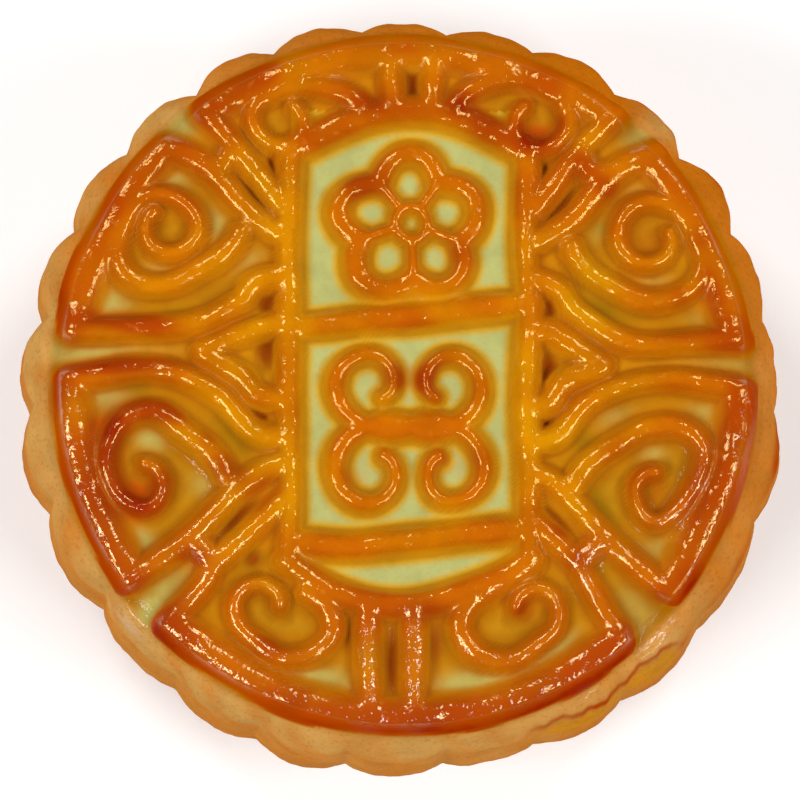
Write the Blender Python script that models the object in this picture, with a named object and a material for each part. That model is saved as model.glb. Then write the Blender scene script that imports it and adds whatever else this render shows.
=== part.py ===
"""A pressed mooncake, whole: a scalloped round cake with a moulded line pattern on its top.

One solid. Metres, +Z up. The origin is the middle of the flat base, and +Y is the top of the pattern.
The named sizes are millimetres, and the pattern's are places in its plane, seen from above.
"""

import math

import bmesh
import bpy
import numpy as np

MM = 0.001

# The cake
ACROSS = 70.0
HEIGHT = 30.0
WIDEST_AT = 13.0
BULGE_LEVELS = (7.5, WIDEST_AT)
SIDE_LEAN = 0.7
BASE_INSET = 2.6
BASE_ROUND = 3.2
BASE_ANGLES = (0, 35, 70)
BASE_LOBES = (0.35, 0.78)
SHOULDER_ROUND = 8.5
SHOULDER_ANGLES = (30, 58, 90)
SHELF_DROP = 0.5

# The 24 uneven lobes: the angle of the valley where each starts, in degrees counter-clockwise from +X, that
# valley's radius and the radius of the crest beyond it
LOBES = (
    (-2.5, 34.6, 34.9), (11.0, 34.3, 35.0), (25.5, 34.1, 35.6), (40.0, 33.9, 35.5),
    (54.5, 34.4, 35.5), (69.0, 34.2, 34.8), (83.0, 33.7, 34.7), (96.5, 34.0, 35.1),
    (111.0, 33.8, 35.2), (125.0, 33.7, 35.1), (139.5, 33.9, 35.1), (154.0, 33.8, 35.2),
    (168.5, 33.6, 35.3), (182.5, 34.2, 35.4), (198.0, 34.0, 34.9), (215.0, 33.4, 34.3),
    (232.0, 33.7, 34.6), (247.0, 33.8, 34.9), (261.5, 33.8, 34.6), (277.0, 33.6, 34.2),
    (291.5, 33.9, 35.0), (306.5, 34.3, 35.3), (322.5, 34.6, 35.3), (341.0, 34.7, 35.7),
)
LOBE_SHARPNESS = 1.3
LOBE_STEPS = 6

# The relief
RELIEF = 2.0
FLOOR = HEIGHT - RELIEF
SINK = 0.6
UNEVEN = 0.004
PATTERN_RADIUS = 31.7
RIM_RADIUS = 30.6
RIM_OUT = 1.2
RIM_IN = 2.6
RIDGE_HALF = 1.45
ARCH_HALF = 1.6
ORNAMENT_HALF = 1.4
CURL_END_HALF = 0.95

# A ridge's section: the crest's and shoulder's shares of the half-width, and the shoulder's of the height
CREST_SHARE = 0.32
SHOULDER_SHARE = 0.74
SHOULDER_HEIGHT = 0.66
FOOT_FLARE = 1.1
END_REACH = 0.55
END_HEIGHT = 0.62

# How closely a ridge follows its path, and its longest facet
FINENESS = 0.09
LONGEST_STEP = 5.0

# Heights of the kinds of ridge, as shares of the relief
RIM_HEIGHT = 1.0
POST_HEIGHT = 0.98
BAR_HEIGHT = 0.95
EDGE_HEIGHT = 0.93
CURL_HEIGHT = 0.9
ORNAMENT_HEIGHT = 0.86

# The rim's six arcs, degrees counter-clockwise from +X
RIM_ARCS = {
    "top": (51.5, 126.5),
    "upper_left": (135.4, 171.0),
    "lower_left": (179.6, 216.4),
    "bottom": (227.0, 310.2),
    "lower_right": (322.0, 358.6),
    "upper_right": (7.6, 42.0),
}

# The ridges that run from the rim's corners in to the frame
EDGES = {
    "upper_left_outer": [(-21.4, 21.2), (-17.8, 19.4), (-14.2, 15.3), (-10.2, 12.8)],
    "upper_left_inner": [(-29.9, 4.8), (-20.0, 4.9), (-15.0, 7.0), (-13.3, 8.8), (-10.2, 9.8)],
    "lower_left_inner": [(-30.3, 0.3), (-23.0, 1.0), (-17.0, -1.2), (-13.6, -4.7), (-10.2, -5.4)],
    "lower_left_outer": [(-24.4, -17.9), (-19.3, -14.0), (-14.4, -9.2), (-10.2, -7.2)],
    "upper_right_outer": [(23.1, 20.8), (19.2, 18.7), (15.2, 14.6), (11.1, 12.2)],
    "upper_right_inner": [(30.4, 3.9), (21.0, 3.7), (15.9, 6.1), (14.0, 8.3), (11.1, 9.6)],
    "lower_right_inner": [(30.4, -0.6), (22.0, 0.0), (17.0, -1.4), (13.8, -4.7), (11.1, -5.7)],
    "lower_right_outer": [(23.5, -18.4), (18.0, -14.1), (13.6, -9.5), (11.1, -8.0)],
    "top_left": [(-18.2, 24.4), (-14.6, 20.4), (-10.2, 15.1)],
    "top_right": [(19.1, 24.3), (15.9, 20.4), (11.1, 15.0)],
    "bottom_left": [(-20.7, -21.9), (-17.7, -17.8), (-17.8, -15.4), (-19.3, -14.1)],
    "bottom_right": [(19.3, -22.6), (16.0, -17.3), (16.4, -15.6), (18.0, -14.2)],
}

# Short ridges that tie neighbouring edges, and the forks at the left and right of the frame
LINKS = {
    "upper_left_link": [(-17.8, 19.2), (-16.1, 19.5), (-15.3, 21.2)],
    "upper_right_link": [(18.8, 18.4), (17.0, 18.8), (16.2, 20.6)],
    "lower_left_bar": [(-17.0, -16.2), (-13.8, -13.5), (-10.2, -10.2)],
    "lower_right_bar": [(15.9, -16.8), (12.4, -13.7), (11.1, -12.3)],
    "left_fork_upper": [(-10.2, 5.4), (-14.5, 4.1), (-18.1, 2.6)],
    "left_fork_lower": [(-18.1, 2.5), (-14.5, 0.3), (-13.0, -1.4), (-10.2, -2.0)],
    "right_fork_upper": [(11.1, 3.6), (12.8, 4.4), (17.9, 1.8)],
    "right_fork_lower": [(17.9, 1.6), (14.7, 0.3), (13.3, -1.5), (11.1, -2.4)],
}

# The frame round the two middle panels: its posts, the peak of its arch and the foot of the arc below it
POSTS = {"left": -10.15, "right": 11.1}
POST_TOP = {"left": 21.0, "right": 20.7}
POST_FOOT = -16.2
ARCH_TOP = 24.7
LOWER_ARC_FOOT = -20.1
LOWER_ARC_OVERHANG = 0.3

# The frame's two cross bars, by their heights at the left and right posts
CROSS_BARS = {"middle": (5.0, 6.9), "lower": (-14.7, -13.7)}

# The pairs of upright bars between the frame and the rim: inner end, outer end and the place of each bar
UPRIGHTS = {"top": (24.9, 29.4, (-1.2, 2.5)), "bottom": (-20.3, -29.4, (-3.0, 0.9))}

# The curls: middle, first angle, turn (+1 counter-clockwise), and the radius at each eighth of a turn
CURLS = {
    "upper_left": ((-21.6, 13.9), -5, -1, (6.9, 5, 5.3, 5.4, 3.7, 3, 2.8, 2.8, 3, 2.8, 2.5, 2.2, 1.7, 1.4)),
    "lower_left": ((-23.2, -8.6), 0, 1, (7.0, 5.3, 5.8, 4.7, 3.3, 2.9, 2.8, 1.9, 1.3, 1.2, 1.2)),
    "upper_right": ((22.3, 13.2), 188, 1, (7.1, 5.6, 5.7, 5.6, 3.8, 3.1, 3.1, 3.1, 2.9, 2.7, 2.5, 2.2, 1.7)),
    "lower_right": ((22.6, -9.2), 180, -1, (7.6, 5.0, 4.9, 5.5, 3.5, 3.1, 3.4, 2.4, 1.9, 1.3, 1.0)),
    "top_left": ((-11.0, 23.4), 11, 1, (7.4, 4.2, 2.8, 2.8, 2.4, 2.1, 2.0, 2.0, 1.9, 1.8)),
    "top_right": ((12.0, 23.3), 169, -1, (7.8, 5.0, 3.4, 2.9, 2.9, 2.5, 2.3, 2.3, 2.0, 1.8)),
    "bottom_left": ((-12.0, -20.8), 28, -1, (4.0, 6.1, 4.7, 3.2, 3.1, 3.2, 2.8, 1.9, 1.2)),
    "bottom_right": ((10.8, -21.0), 152, 1, (4.1, 6.2, 4.5, 2.8, 2.8, 2.8, 2.5, 1.8, 1.4)),
}

# The ornaments in the panels: a five-petalled blossom above, a knot of four scrolls below
BLOSSOM_MIDDLE = (0.5, 14.2)
BLOSSOM_RADIUS = 5.6
BLOSSOM_WAVE = 0.95
BLOSSOM_PETALS = 5
BLOSSOM_EYE = 1.5
STAMEN_HALF = 0.8
KNOT_MIDDLE = (0.5, -4.2)
KNOT_SPREAD = (3.5, 3.65)
KNOT_FIRST = -133
KNOT_CURL = (5.05, 3.8, 3.3, 3.15, 3.05, 2.85, 2.4, 1.9, 1.4)

CRUST = (0.58, 0.26, 0.045, 1.0)
SHARP = math.radians(35)


class Relief:
    """The ridges of the top, gathered in a collection until they are fused to the cake."""

    def __init__(self):
        """Start with no ridge."""
        self.collection = bpy.data.collections.new("relief")
        bpy.context.scene.collection.children.link(self.collection)
        self.count = 0

    def ridge(self, name, path, share, left=RIDGE_HALF, right=RIDGE_HALF, end_half=None, closed=False):
        """A rounded ridge swept along a path, with its foot sunk into the floor.

        share is its height as a share of the relief. Each ridge is UNEVEN lower than the one before, so that
        no two crests lie in one plane. left and right are the half-widths at the floor on each side of the
        path, and they narrow evenly to end_half where that is given. Open ends are rounded off.
        """
        height = share * RELIEF - UNEVEN * self.count
        self.count += 1
        path = thinned(path)
        if closed:
            path = path[:-1]
            ahead = np.roll(path, -1, axis=0) - np.roll(path, 1, axis=0)
        else:
            ahead = np.gradient(path, axis=0)
        ahead /= np.hypot(*ahead.T)[:, None]
        run = np.concatenate([[0], np.cumsum(np.hypot(*np.diff(path, axis=0).T))])
        narrowing = 0 if end_half is None else 1 - end_half / left
        scale = 1 - narrowing * run / run[-1]
        lift = np.ones(len(path))
        if not closed:
            tip = END_REACH * min(left, right)
            first, last = path[0] - tip * ahead[0], path[-1] + tip * scale[-1] * ahead[-1]
            path = np.concatenate([[first], path, [last]])
            ahead = np.concatenate([ahead[:1], ahead, ahead[-1:]])
            scale = np.concatenate([[END_REACH], scale, [END_REACH * scale[-1]]])
            lift = np.concatenate([[END_HEIGHT], lift, [END_HEIGHT]])
        side = np.stack([-ahead[:, 1], ahead[:, 0]], axis=1)
        shoulder = (SHOULDER_SHARE, SHOULDER_HEIGHT * height)
        half = [(FOOT_FLARE, -SINK), shoulder, (CREST_SHARE, height)]
        section = [(left * out, up) for out, up in half] + [(-right * out, up) for out, up in half[::-1]]
        rows = []
        for out, up in section:
            z = FLOOR + up * (lift if up > 0 else np.ones(len(path)))
            rows.append(np.concatenate([path + side * (out * scale)[:, None], z[:, None]], axis=1))
        vertices = np.stack(rows, axis=1).reshape(-1, 3)
        return new_object(name, vertices, swept_faces(len(path), len(section), closed), self.collection)

    def fuse(self, base):
        """Join every ridge to the base by one union, and remove the ridges."""
        union = base.modifiers.new("relief", "BOOLEAN")
        union.operation = "UNION"
        union.operand_type = "COLLECTION"
        union.collection = self.collection
        union.solver = "EXACT"
        union.use_self = True
        graph = bpy.context.evaluated_depsgraph_get()
        mesh = bpy.data.meshes.new_from_object(base.evaluated_get(graph))
        base.modifiers.clear()
        base.data = mesh
        for obj in list(self.collection.objects):
            bpy.data.objects.remove(obj, do_unlink=True)
        bpy.data.collections.remove(self.collection)


def clear_scene():
    """Remove every object that the scene starts with."""
    for obj in list(bpy.data.objects):
        bpy.data.objects.remove(obj, do_unlink=True)


def crust_material():
    """Browned pastry under a baked egg wash."""
    material = bpy.data.materials.new("crust")
    material.use_nodes = True
    shader = material.node_tree.nodes["Principled BSDF"]
    shader.inputs["Base Color"].default_value = CRUST
    shader.inputs["Roughness"].default_value = 0.3
    shader.inputs["Metallic"].default_value = 0.0
    return material


def new_object(name, vertices, faces, collection):
    """A mesh object, in the collection, from points in millimetres."""
    mesh = bpy.data.meshes.new(name)
    mesh.from_pydata((np.asarray(vertices) * MM).tolist(), [], faces)
    mesh.update()
    obj = bpy.data.objects.new(name, mesh)
    collection.objects.link(obj)
    return obj


def swept_faces(count, width, closed):
    """The quads between count sections of width points, with end caps where the sweep is open."""
    faces = []
    for i in range(count if closed else count - 1):
        a, b = i * width, (i + 1) % count * width
        for j in range(width):
            k = (j + 1) % width
            faces.append((a + j, a + k, b + k, b + j))
    if not closed:
        faces.append(tuple(range(width))[::-1])
        faces.append(tuple(range((count - 1) * width, count * width)))
    return faces


def side_profile():
    """(radius, height, share of the lobes' depth) up the cake's side, from the base's edge to the floor."""
    widest = ACROSS / 2
    rows = []
    for degrees, share in zip(BASE_ANGLES, np.linspace(*BASE_LOBES, len(BASE_ANGLES))):
        a = math.radians(degrees)
        radius = widest - BASE_INSET - BASE_ROUND * (1 - math.sin(a))
        rows.append((radius, BASE_ROUND * (1 - math.cos(a)), share))
    for height in BULGE_LEVELS:
        below = (WIDEST_AT - height) / (WIDEST_AT - BASE_ROUND)
        rows.append((widest - BASE_INSET * below**2, height, 1.0))
    rows.append((widest - SIDE_LEAN, HEIGHT - SHOULDER_ROUND, 1.0))
    shelf = FLOOR - SHELF_DROP
    reach = widest - SIDE_LEAN - PATTERN_RADIUS
    rise = shelf - (HEIGHT - SHOULDER_ROUND)
    for degrees in SHOULDER_ANGLES:
        a = math.radians(degrees)
        height = shelf - rise * (1 - math.sin(a))
        rows.append((PATTERN_RADIUS + reach * math.cos(a), height, math.cos(a)))
    rows.append((PATTERN_RADIUS - RIM_IN, FLOOR, 0.0))
    return rows


def outline():
    """The angle and radius of each point round the cake at its widest level.

    Across each lobe a share s runs from 0 to 1, valley to valley, and the radius is the crest's, less the
    lobe's depth times (1 - sin(pi s)) ** LOBE_SHARPNESS. Crests and valleys ease into the next ones.
    """
    count = len(LOBES)
    start, valley, crest = np.array(LOBES).T
    along = np.arange(count * LOBE_STEPS) / LOBE_STEPS
    angle = np.radians(np.interp(along, np.arange(count + 1), np.append(start, start[0] + 360)))
    low = np.interp(along, np.arange(count + 1), np.append(valley, valley[0]))
    high = np.interp(along, np.arange(-1, count + 1) + 0.5, np.concatenate([crest[-1:], crest, crest[:1]]))
    return angle, high - (high - low) * (1 - np.sin(math.pi * (along % 1))) ** LOBE_SHARPNESS


def body():
    """The cake without its relief: scalloped rings about the outline's middle, a flat base and a flat floor."""
    angle, widest = outline()
    around = np.stack([np.cos(angle), np.sin(angle)], axis=1)
    edge = widest[:, None] * around
    middle = (edge.min(axis=0) + edge.max(axis=0)) / 2
    rings = []
    for radius, height, share in side_profile():
        reach = radius + share * (widest - ACROSS / 2)
        level = np.full((len(angle), 1), height)
        rings.append(np.concatenate([reach[:, None] * around - middle, level], axis=1))
    faces = swept_faces(len(rings), len(angle), closed=False)
    return new_object("mooncake", np.concatenate(rings), faces, bpy.context.scene.collection)


def spline(points, steps=16):
    """A smooth curve through the points (Catmull-Rom)."""
    knots = np.array(points, float)
    knots = np.concatenate([[2 * knots[0] - knots[1]], knots, [2 * knots[-1] - knots[-2]]])
    t = np.linspace(0, 1, steps, endpoint=False)[:, None]
    runs = []
    for a, b, c, d in zip(knots, knots[1:], knots[2:], knots[3:]):
        cubic = 3 * b - a - 3 * c + d
        runs.append(b + 0.5 * ((c - a) * t + (2 * a - 5 * b + 4 * c - d) * t**2 + cubic * t**3))
    return np.concatenate(runs + [knots[-2:-1]])


def circle(middle, radius, start=0, end=360, steps=120):
    """Points at a radius, or at one radius for each point, round a middle, between two angles in degrees."""
    angle = np.radians(np.linspace(start, end, steps + 1))
    radius = np.broadcast_to(radius, angle.shape)
    return np.array(middle) + radius[:, None] * np.stack([np.cos(angle), np.sin(angle)], axis=1)


def bow(left, right, peak, steps=40):
    """A parabola from left to right whose middle is at the height peak."""
    s = np.linspace(0, 1, steps)[:, None]
    chord = np.array(left) * (1 - s) + np.array(right) * s
    rise = peak - (left[1] + right[1]) / 2
    return chord + np.concatenate([0 * s, 4 * rise * s * (1 - s)], axis=1)


def curl(middle, first, turn, radii):
    """A spiral round a middle, through one radius for each eighth of a turn."""
    eighths = spline(list(enumerate(radii)))
    angle = np.radians(first + turn * 45 * eighths[:, 0])
    return np.array(middle) + eighths[:, 1:] * np.stack([np.cos(angle), np.sin(angle)], axis=1)


def thinned(path):
    """The fewest of the path's points that keep it within FINENESS of the curve (Douglas-Peucker)."""
    keep = np.zeros(len(path), bool)
    keep[[0, -1]] = True
    spans = [(0, len(path) - 1)]
    while spans:
        a, b = spans.pop()
        if b - a < 2:
            continue
        along = path[b] - path[a]
        length = np.hypot(*along)
        inner = path[a + 1 : b] - path[a]
        if length < FINENESS:
            away = np.hypot(*inner.T)
        else:
            away = np.abs(inner[:, 0] * along[1] - inner[:, 1] * along[0]) / length
        worst = int(np.argmax(away))
        if away[worst] > FINENESS:
            split = a + 1 + worst
        elif length > LONGEST_STEP:
            split = (a + b) // 2
        else:
            continue
        keep[split] = True
        spans += [(a, split), (split, b)]
    return path[keep]


def pattern(relief):
    """The rim, the edges and links of its six sectors, and the eight curls."""
    for name, (start, end) in RIM_ARCS.items():
        relief.ridge(f"rim_{name}", circle((0, 0), RIM_RADIUS, start, end), RIM_HEIGHT, RIM_IN, RIM_OUT)
    for name, points in {**EDGES, **LINKS}.items():
        relief.ridge(name, spline(points), EDGE_HEIGHT)
    for name, (middle, first, turn, radii) in CURLS.items():
        relief.ridge(f"curl_{name}", curl(middle, first, turn, radii), CURL_HEIGHT, end_half=CURL_END_HALF)


def frame(relief):
    """The upright frame: two posts, an arch, two cross bars, the arc below, and the bars out to the rim."""
    for name, x in POSTS.items():
        relief.ridge(f"post_{name}", np.array([(x, POST_TOP[name]), (x, POST_FOOT)]), POST_HEIGHT)
    corners = [(POSTS[name], POST_TOP[name]) for name in ("left", "right")]
    relief.ridge("arch", bow(*corners, ARCH_TOP), BAR_HEIGHT, ARCH_HALF, ARCH_HALF)
    left, right = POSTS["left"] - LOWER_ARC_OVERHANG, POSTS["right"] + LOWER_ARC_OVERHANG
    path = bow((left, POST_FOOT), (right, POST_FOOT), LOWER_ARC_FOOT)
    relief.ridge("lower_arc", path, BAR_HEIGHT, ARCH_HALF, ARCH_HALF)
    for name, heights in CROSS_BARS.items():
        path = np.array(list(zip(POSTS.values(), heights)))
        relief.ridge(f"{name}_bar", path, BAR_HEIGHT, ARCH_HALF, ARCH_HALF)
    for name, (inner, outer, places) in UPRIGHTS.items():
        for side, x in zip("ab", places):
            relief.ridge(f"{name}_upright_{side}", np.array([(x, inner), (x, outer)]), EDGE_HEIGHT)


def ornaments(relief):
    """The blossom and the knot of four scrolls in the panels."""
    half = ORNAMENT_HALF
    petal = np.linspace(0, 2 * math.pi, 121)
    wave = 2 * np.abs(np.cos(BLOSSOM_PETALS * (petal - math.pi / 2) / 2)) - 1
    outline = circle(BLOSSOM_MIDDLE, BLOSSOM_RADIUS + BLOSSOM_WAVE * wave)
    relief.ridge("blossom", outline, ORNAMENT_HEIGHT, half, half, closed=True)
    eye = circle(BLOSSOM_MIDDLE, BLOSSOM_EYE)
    relief.ridge("blossom_eye", eye, ORNAMENT_HEIGHT, STAMEN_HALF, STAMEN_HALF, closed=True)
    for index in range(BLOSSOM_PETALS):
        a = 2 * math.pi * (index + 0.5) / BLOSSOM_PETALS + math.pi / 2
        reach = np.array([[BLOSSOM_EYE], [BLOSSOM_RADIUS - BLOSSOM_WAVE]])
        path = np.array(BLOSSOM_MIDDLE) + reach * (math.cos(a), math.sin(a))
        relief.ridge(f"stamen_{index}", path, ORNAMENT_HEIGHT, STAMEN_HALF, STAMEN_HALF)
    for across in (1, -1):
        for up in (1, -1):
            scroll = np.array(KNOT_MIDDLE) + curl(KNOT_SPREAD, KNOT_FIRST, 1, KNOT_CURL) * (across, up)
            name = ("right_" if across > 0 else "left_") + ("upper_scroll" if up > 0 else "lower_scroll")
            relief.ridge(name, scroll, ORNAMENT_HEIGHT, half, half, end_half=CURL_END_HALF)


def finish(cake):
    """Triangles, smooth up to sharp edges, in the crust's material."""
    work = bmesh.new()
    work.from_mesh(cake.data)
    bmesh.ops.triangulate(work, faces=work.faces)
    work.to_mesh(cake.data)
    work.free()
    cake.data.shade_smooth()
    cake.data.set_sharp_from_angle(angle=SHARP)
    cake.data.materials.clear()
    cake.data.materials.append(crust_material())


def main():
    """Build the cake."""
    clear_scene()
    cake = body()
    relief = Relief()
    pattern(relief)
    frame(relief)
    ornaments(relief)
    relief.fuse(cake)
    finish(cake)


main()
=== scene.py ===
"""A pressed red bean mooncake, baked and glazed, whole, seen from almost straight above.

Its top carries a moulded line pattern: a rim in six arcs, six sectors, eight curls, and an upright frame with
a blossom and a knot of scrolls in its two panels. Its side is scalloped into 24 lobes.

The named sizes are millimetres. +Z is up, +Y is the top of the pattern, and the origin is the middle of the
flat base. Meshes are in metres.
"""

import logging
import math
from dataclasses import dataclass, field
from enum import Enum

import bpy
import numpy as np
from mathutils import Matrix, Vector


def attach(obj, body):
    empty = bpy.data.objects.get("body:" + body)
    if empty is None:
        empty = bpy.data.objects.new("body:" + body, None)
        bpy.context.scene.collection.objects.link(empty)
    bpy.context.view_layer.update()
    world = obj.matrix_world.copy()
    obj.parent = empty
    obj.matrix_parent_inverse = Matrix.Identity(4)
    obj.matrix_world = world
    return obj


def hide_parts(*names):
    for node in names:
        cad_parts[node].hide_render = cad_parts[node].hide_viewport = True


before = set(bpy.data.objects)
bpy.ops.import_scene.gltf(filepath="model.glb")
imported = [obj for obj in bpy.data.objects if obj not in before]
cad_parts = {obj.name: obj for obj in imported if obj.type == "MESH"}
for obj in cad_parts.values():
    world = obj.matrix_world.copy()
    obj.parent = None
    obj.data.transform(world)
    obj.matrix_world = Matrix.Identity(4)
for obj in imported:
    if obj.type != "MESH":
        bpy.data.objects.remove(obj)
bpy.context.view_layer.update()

LOG = logging.getLogger("mooncake")
MM = 0.001

ACROSS = 70.0
HEIGHT = 30.0
RELIEF = 2.0
FLOOR = HEIGHT - RELIEF
PATTERN_RADIUS = 31.7
SHELF_DROP = 0.5
RIM_RADIUS = 30.6
RIM_OUT = 1.2
RIM_IN = 2.6
RIDGE_HALF = 1.45
ARCH_HALF = 1.6
ORNAMENT_HALF = 1.4
STAMEN_HALF = 0.8
CURL_END_HALF = 0.95
CIRCLE_POINTS = 121
BOW_POINTS = 41
BUMP_DEPTH = 0.3

Pair = tuple[float, float]
Triple = tuple[float, float, float]
Point = Pair
Place = Triple
Colour = Triple
Lumps = tuple[float, float, int]
Inputs = dict[str | int, object]
Socket = bpy.types.NodeSocket


def linear(red: int, green: int, blue: int) -> Colour:
    """Return a screen colour, each channel 0 to 255, as the linear one that shaders take."""
    shares = (red / 255, green / 255, blue / 255)
    return tuple(c / 12.92 if c < 0.04045 else ((c + 0.055) / 1.055) ** 2.4 for c in shares)


def smooth(low: float, high: float, value: np.ndarray) -> np.ndarray:
    """Ease from 0 at low to 1 at high, which may be below low: t * t * (3 - 2 t) of the clipped share t."""
    t = np.clip((value - low) / (high - low), 0.0, 1.0)
    return t * t * (3 - 2 * t)


def spline(points: list[Point], steps: int = 16) -> np.ndarray:
    """Draw a Catmull-Rom curve through the points.

    Between b and c, with neighbours a and d, a point is b + ((c - a) t + (2a - 5b + 4c - d) t^2
    + (3b - a - 3c + d) t^3) / 2.

    Args:
        points: The points that the curve passes through.
        steps: How many points each stretch gets.

    Returns:
        The curve's points, one row each.
    """
    knots = np.array(points, float)
    knots = np.concatenate([[2 * knots[0] - knots[1]], knots, [2 * knots[-1] - knots[-2]]])
    a, b, c, d = (knots[i : len(knots) - 3 + i, None] for i in range(4))
    t = np.linspace(0, 1, steps, endpoint=False)[None, :, None]
    curve = b + 0.5 * ((c - a) * t + (2 * a - 5 * b + 4 * c - d) * t**2 + (3 * b - a - 3 * c + d) * t**3)
    return np.concatenate([curve.reshape(-1, 2), knots[-2:-1]])


def directions(angle: np.ndarray) -> np.ndarray:
    """Return the unit vectors of angles in radians, one row each."""
    return np.stack([np.cos(angle), np.sin(angle)], axis=1)


def circle(middle: Point, radius: float | np.ndarray, start: float = 0, end: float = 360) -> np.ndarray:
    """Place points at middle + radius (cos, sin) of evenly spaced angles.

    Args:
        middle: The circle's middle.
        radius: One radius, or one for each point.
        start: The first angle, in degrees.
        end: The last angle, in degrees.

    Returns:
        The points, one row each.
    """
    angle = np.radians(np.linspace(start, end, CIRCLE_POINTS))
    reach = np.broadcast_to(radius, angle.shape)
    return np.array(middle) + reach[:, None] * directions(angle)


def bow(left: Point, right: Point, peak: float) -> np.ndarray:
    """Draw a parabola: the chord plus 4 s (1 - s) times the rise of its middle.

    Args:
        left: Its left end.
        right: Its right end.
        peak: The height of its middle.

    Returns:
        Its points, one row each.
    """
    s = np.linspace(0, 1, BOW_POINTS)[:, None]
    rise = peak - (left[1] + right[1]) / 2
    chord = np.array(left) * (1 - s) + np.array(right) * s
    return chord + np.concatenate([0 * s, 4 * rise * s * (1 - s)], axis=1)


def curl(middle: Point, first: float, turn: int, radii: tuple[float, ...]) -> np.ndarray:
    """Draw a spiral whose radius is a spline through one radius for each eighth of a turn.

    Args:
        middle: The spiral's middle.
        first: Its first angle, in degrees.
        turn: +1 for counter-clockwise, -1 for clockwise.
        radii: The radius at each eighth of a turn, from the outer end.

    Returns:
        Its points, one row each.
    """
    eighths = spline(list(enumerate(radii)))
    angle = np.radians(first + turn * 45 * eighths[:, 0])
    return np.array(middle) + eighths[:, 1:] * directions(angle)


class RidgeKind(Enum):
    """The kinds of ridge, each with its height as a share of the relief."""

    RIM = 1.0
    POST = 0.98
    BAR = 0.95
    EDGE = 0.93
    CURL = 0.9
    ORNAMENT = 0.86


@dataclass(frozen=True)
class Section:
    """A ridge's section: (1 - u^inner)^outer of its height, where u is 1 at foot times its half-width."""

    foot: float
    inner: float
    outer: float

    def height(self, share: np.ndarray) -> np.ndarray:
        """Return the share of the height at distances across, given as shares of the half-width."""
        return np.clip(1 - (share / self.foot) ** self.inner, 0, 1) ** self.outer


ROUND_SECTION = Section(1.25, 2.6, 1.6)
STEEP_SECTION = Section(1.05, 2.0, 0.6)


@dataclass(frozen=True)
class Ridge:
    """One rounded ridge of the pattern, along a path.

    left and right are its half-widths at the floor on each side of the path, and they narrow evenly to
    end_half where that is given.
    """

    kind: RidgeKind
    path: np.ndarray
    left: float = RIDGE_HALF
    right: float = RIDGE_HALF
    end_half: float | None = None

    def nearest(self, x: np.ndarray, y: np.ndarray) -> tuple[np.ndarray, np.ndarray]:
        """Find how far places are from the path, as a share of the half-width there, and in millimetres.

        Beside each straight stretch the share is the distance across it over the half-width of that side.
        Past its ends it is the length of (share across, distance past over the lesser half-width). The
        nearest stretch counts.

        Args:
            x: The places' x.
            y: The places' y.

        Returns:
            The distance as a share of the half-width, and the distance beyond the ridge's foot.
        """
        start, along = self.path[:-1], np.diff(self.path, axis=0)
        length = np.hypot(*along.T)
        run = np.concatenate([[0], np.cumsum(length)])
        best = np.full(x.shape, np.inf)
        half = np.full(x.shape, self.left)
        narrowing = 0.0 if self.end_half is None else 1 - self.end_half / self.left
        for a, d, size, at in zip(start, along, length, run):
            dx, dy = x - a[0], y - a[1]
            t = (dx * d[0] + dy * d[1]) / size**2
            kept = np.clip(t, 0, 1)
            past = (t - kept) * size
            across = (d[0] * dy - d[1] * dx) / size
            scale = 1 - narrowing * (at + kept * size) / run[-1]
            here = np.where(across > 0, self.left, self.right) * scale
            share = np.hypot(across / here, past / (min(self.left, self.right) * scale))
            nearer = share < best
            best = np.where(nearer, share, best)
            half = np.where(nearer, here, half)
        return best, (best - 1) * half


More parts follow.
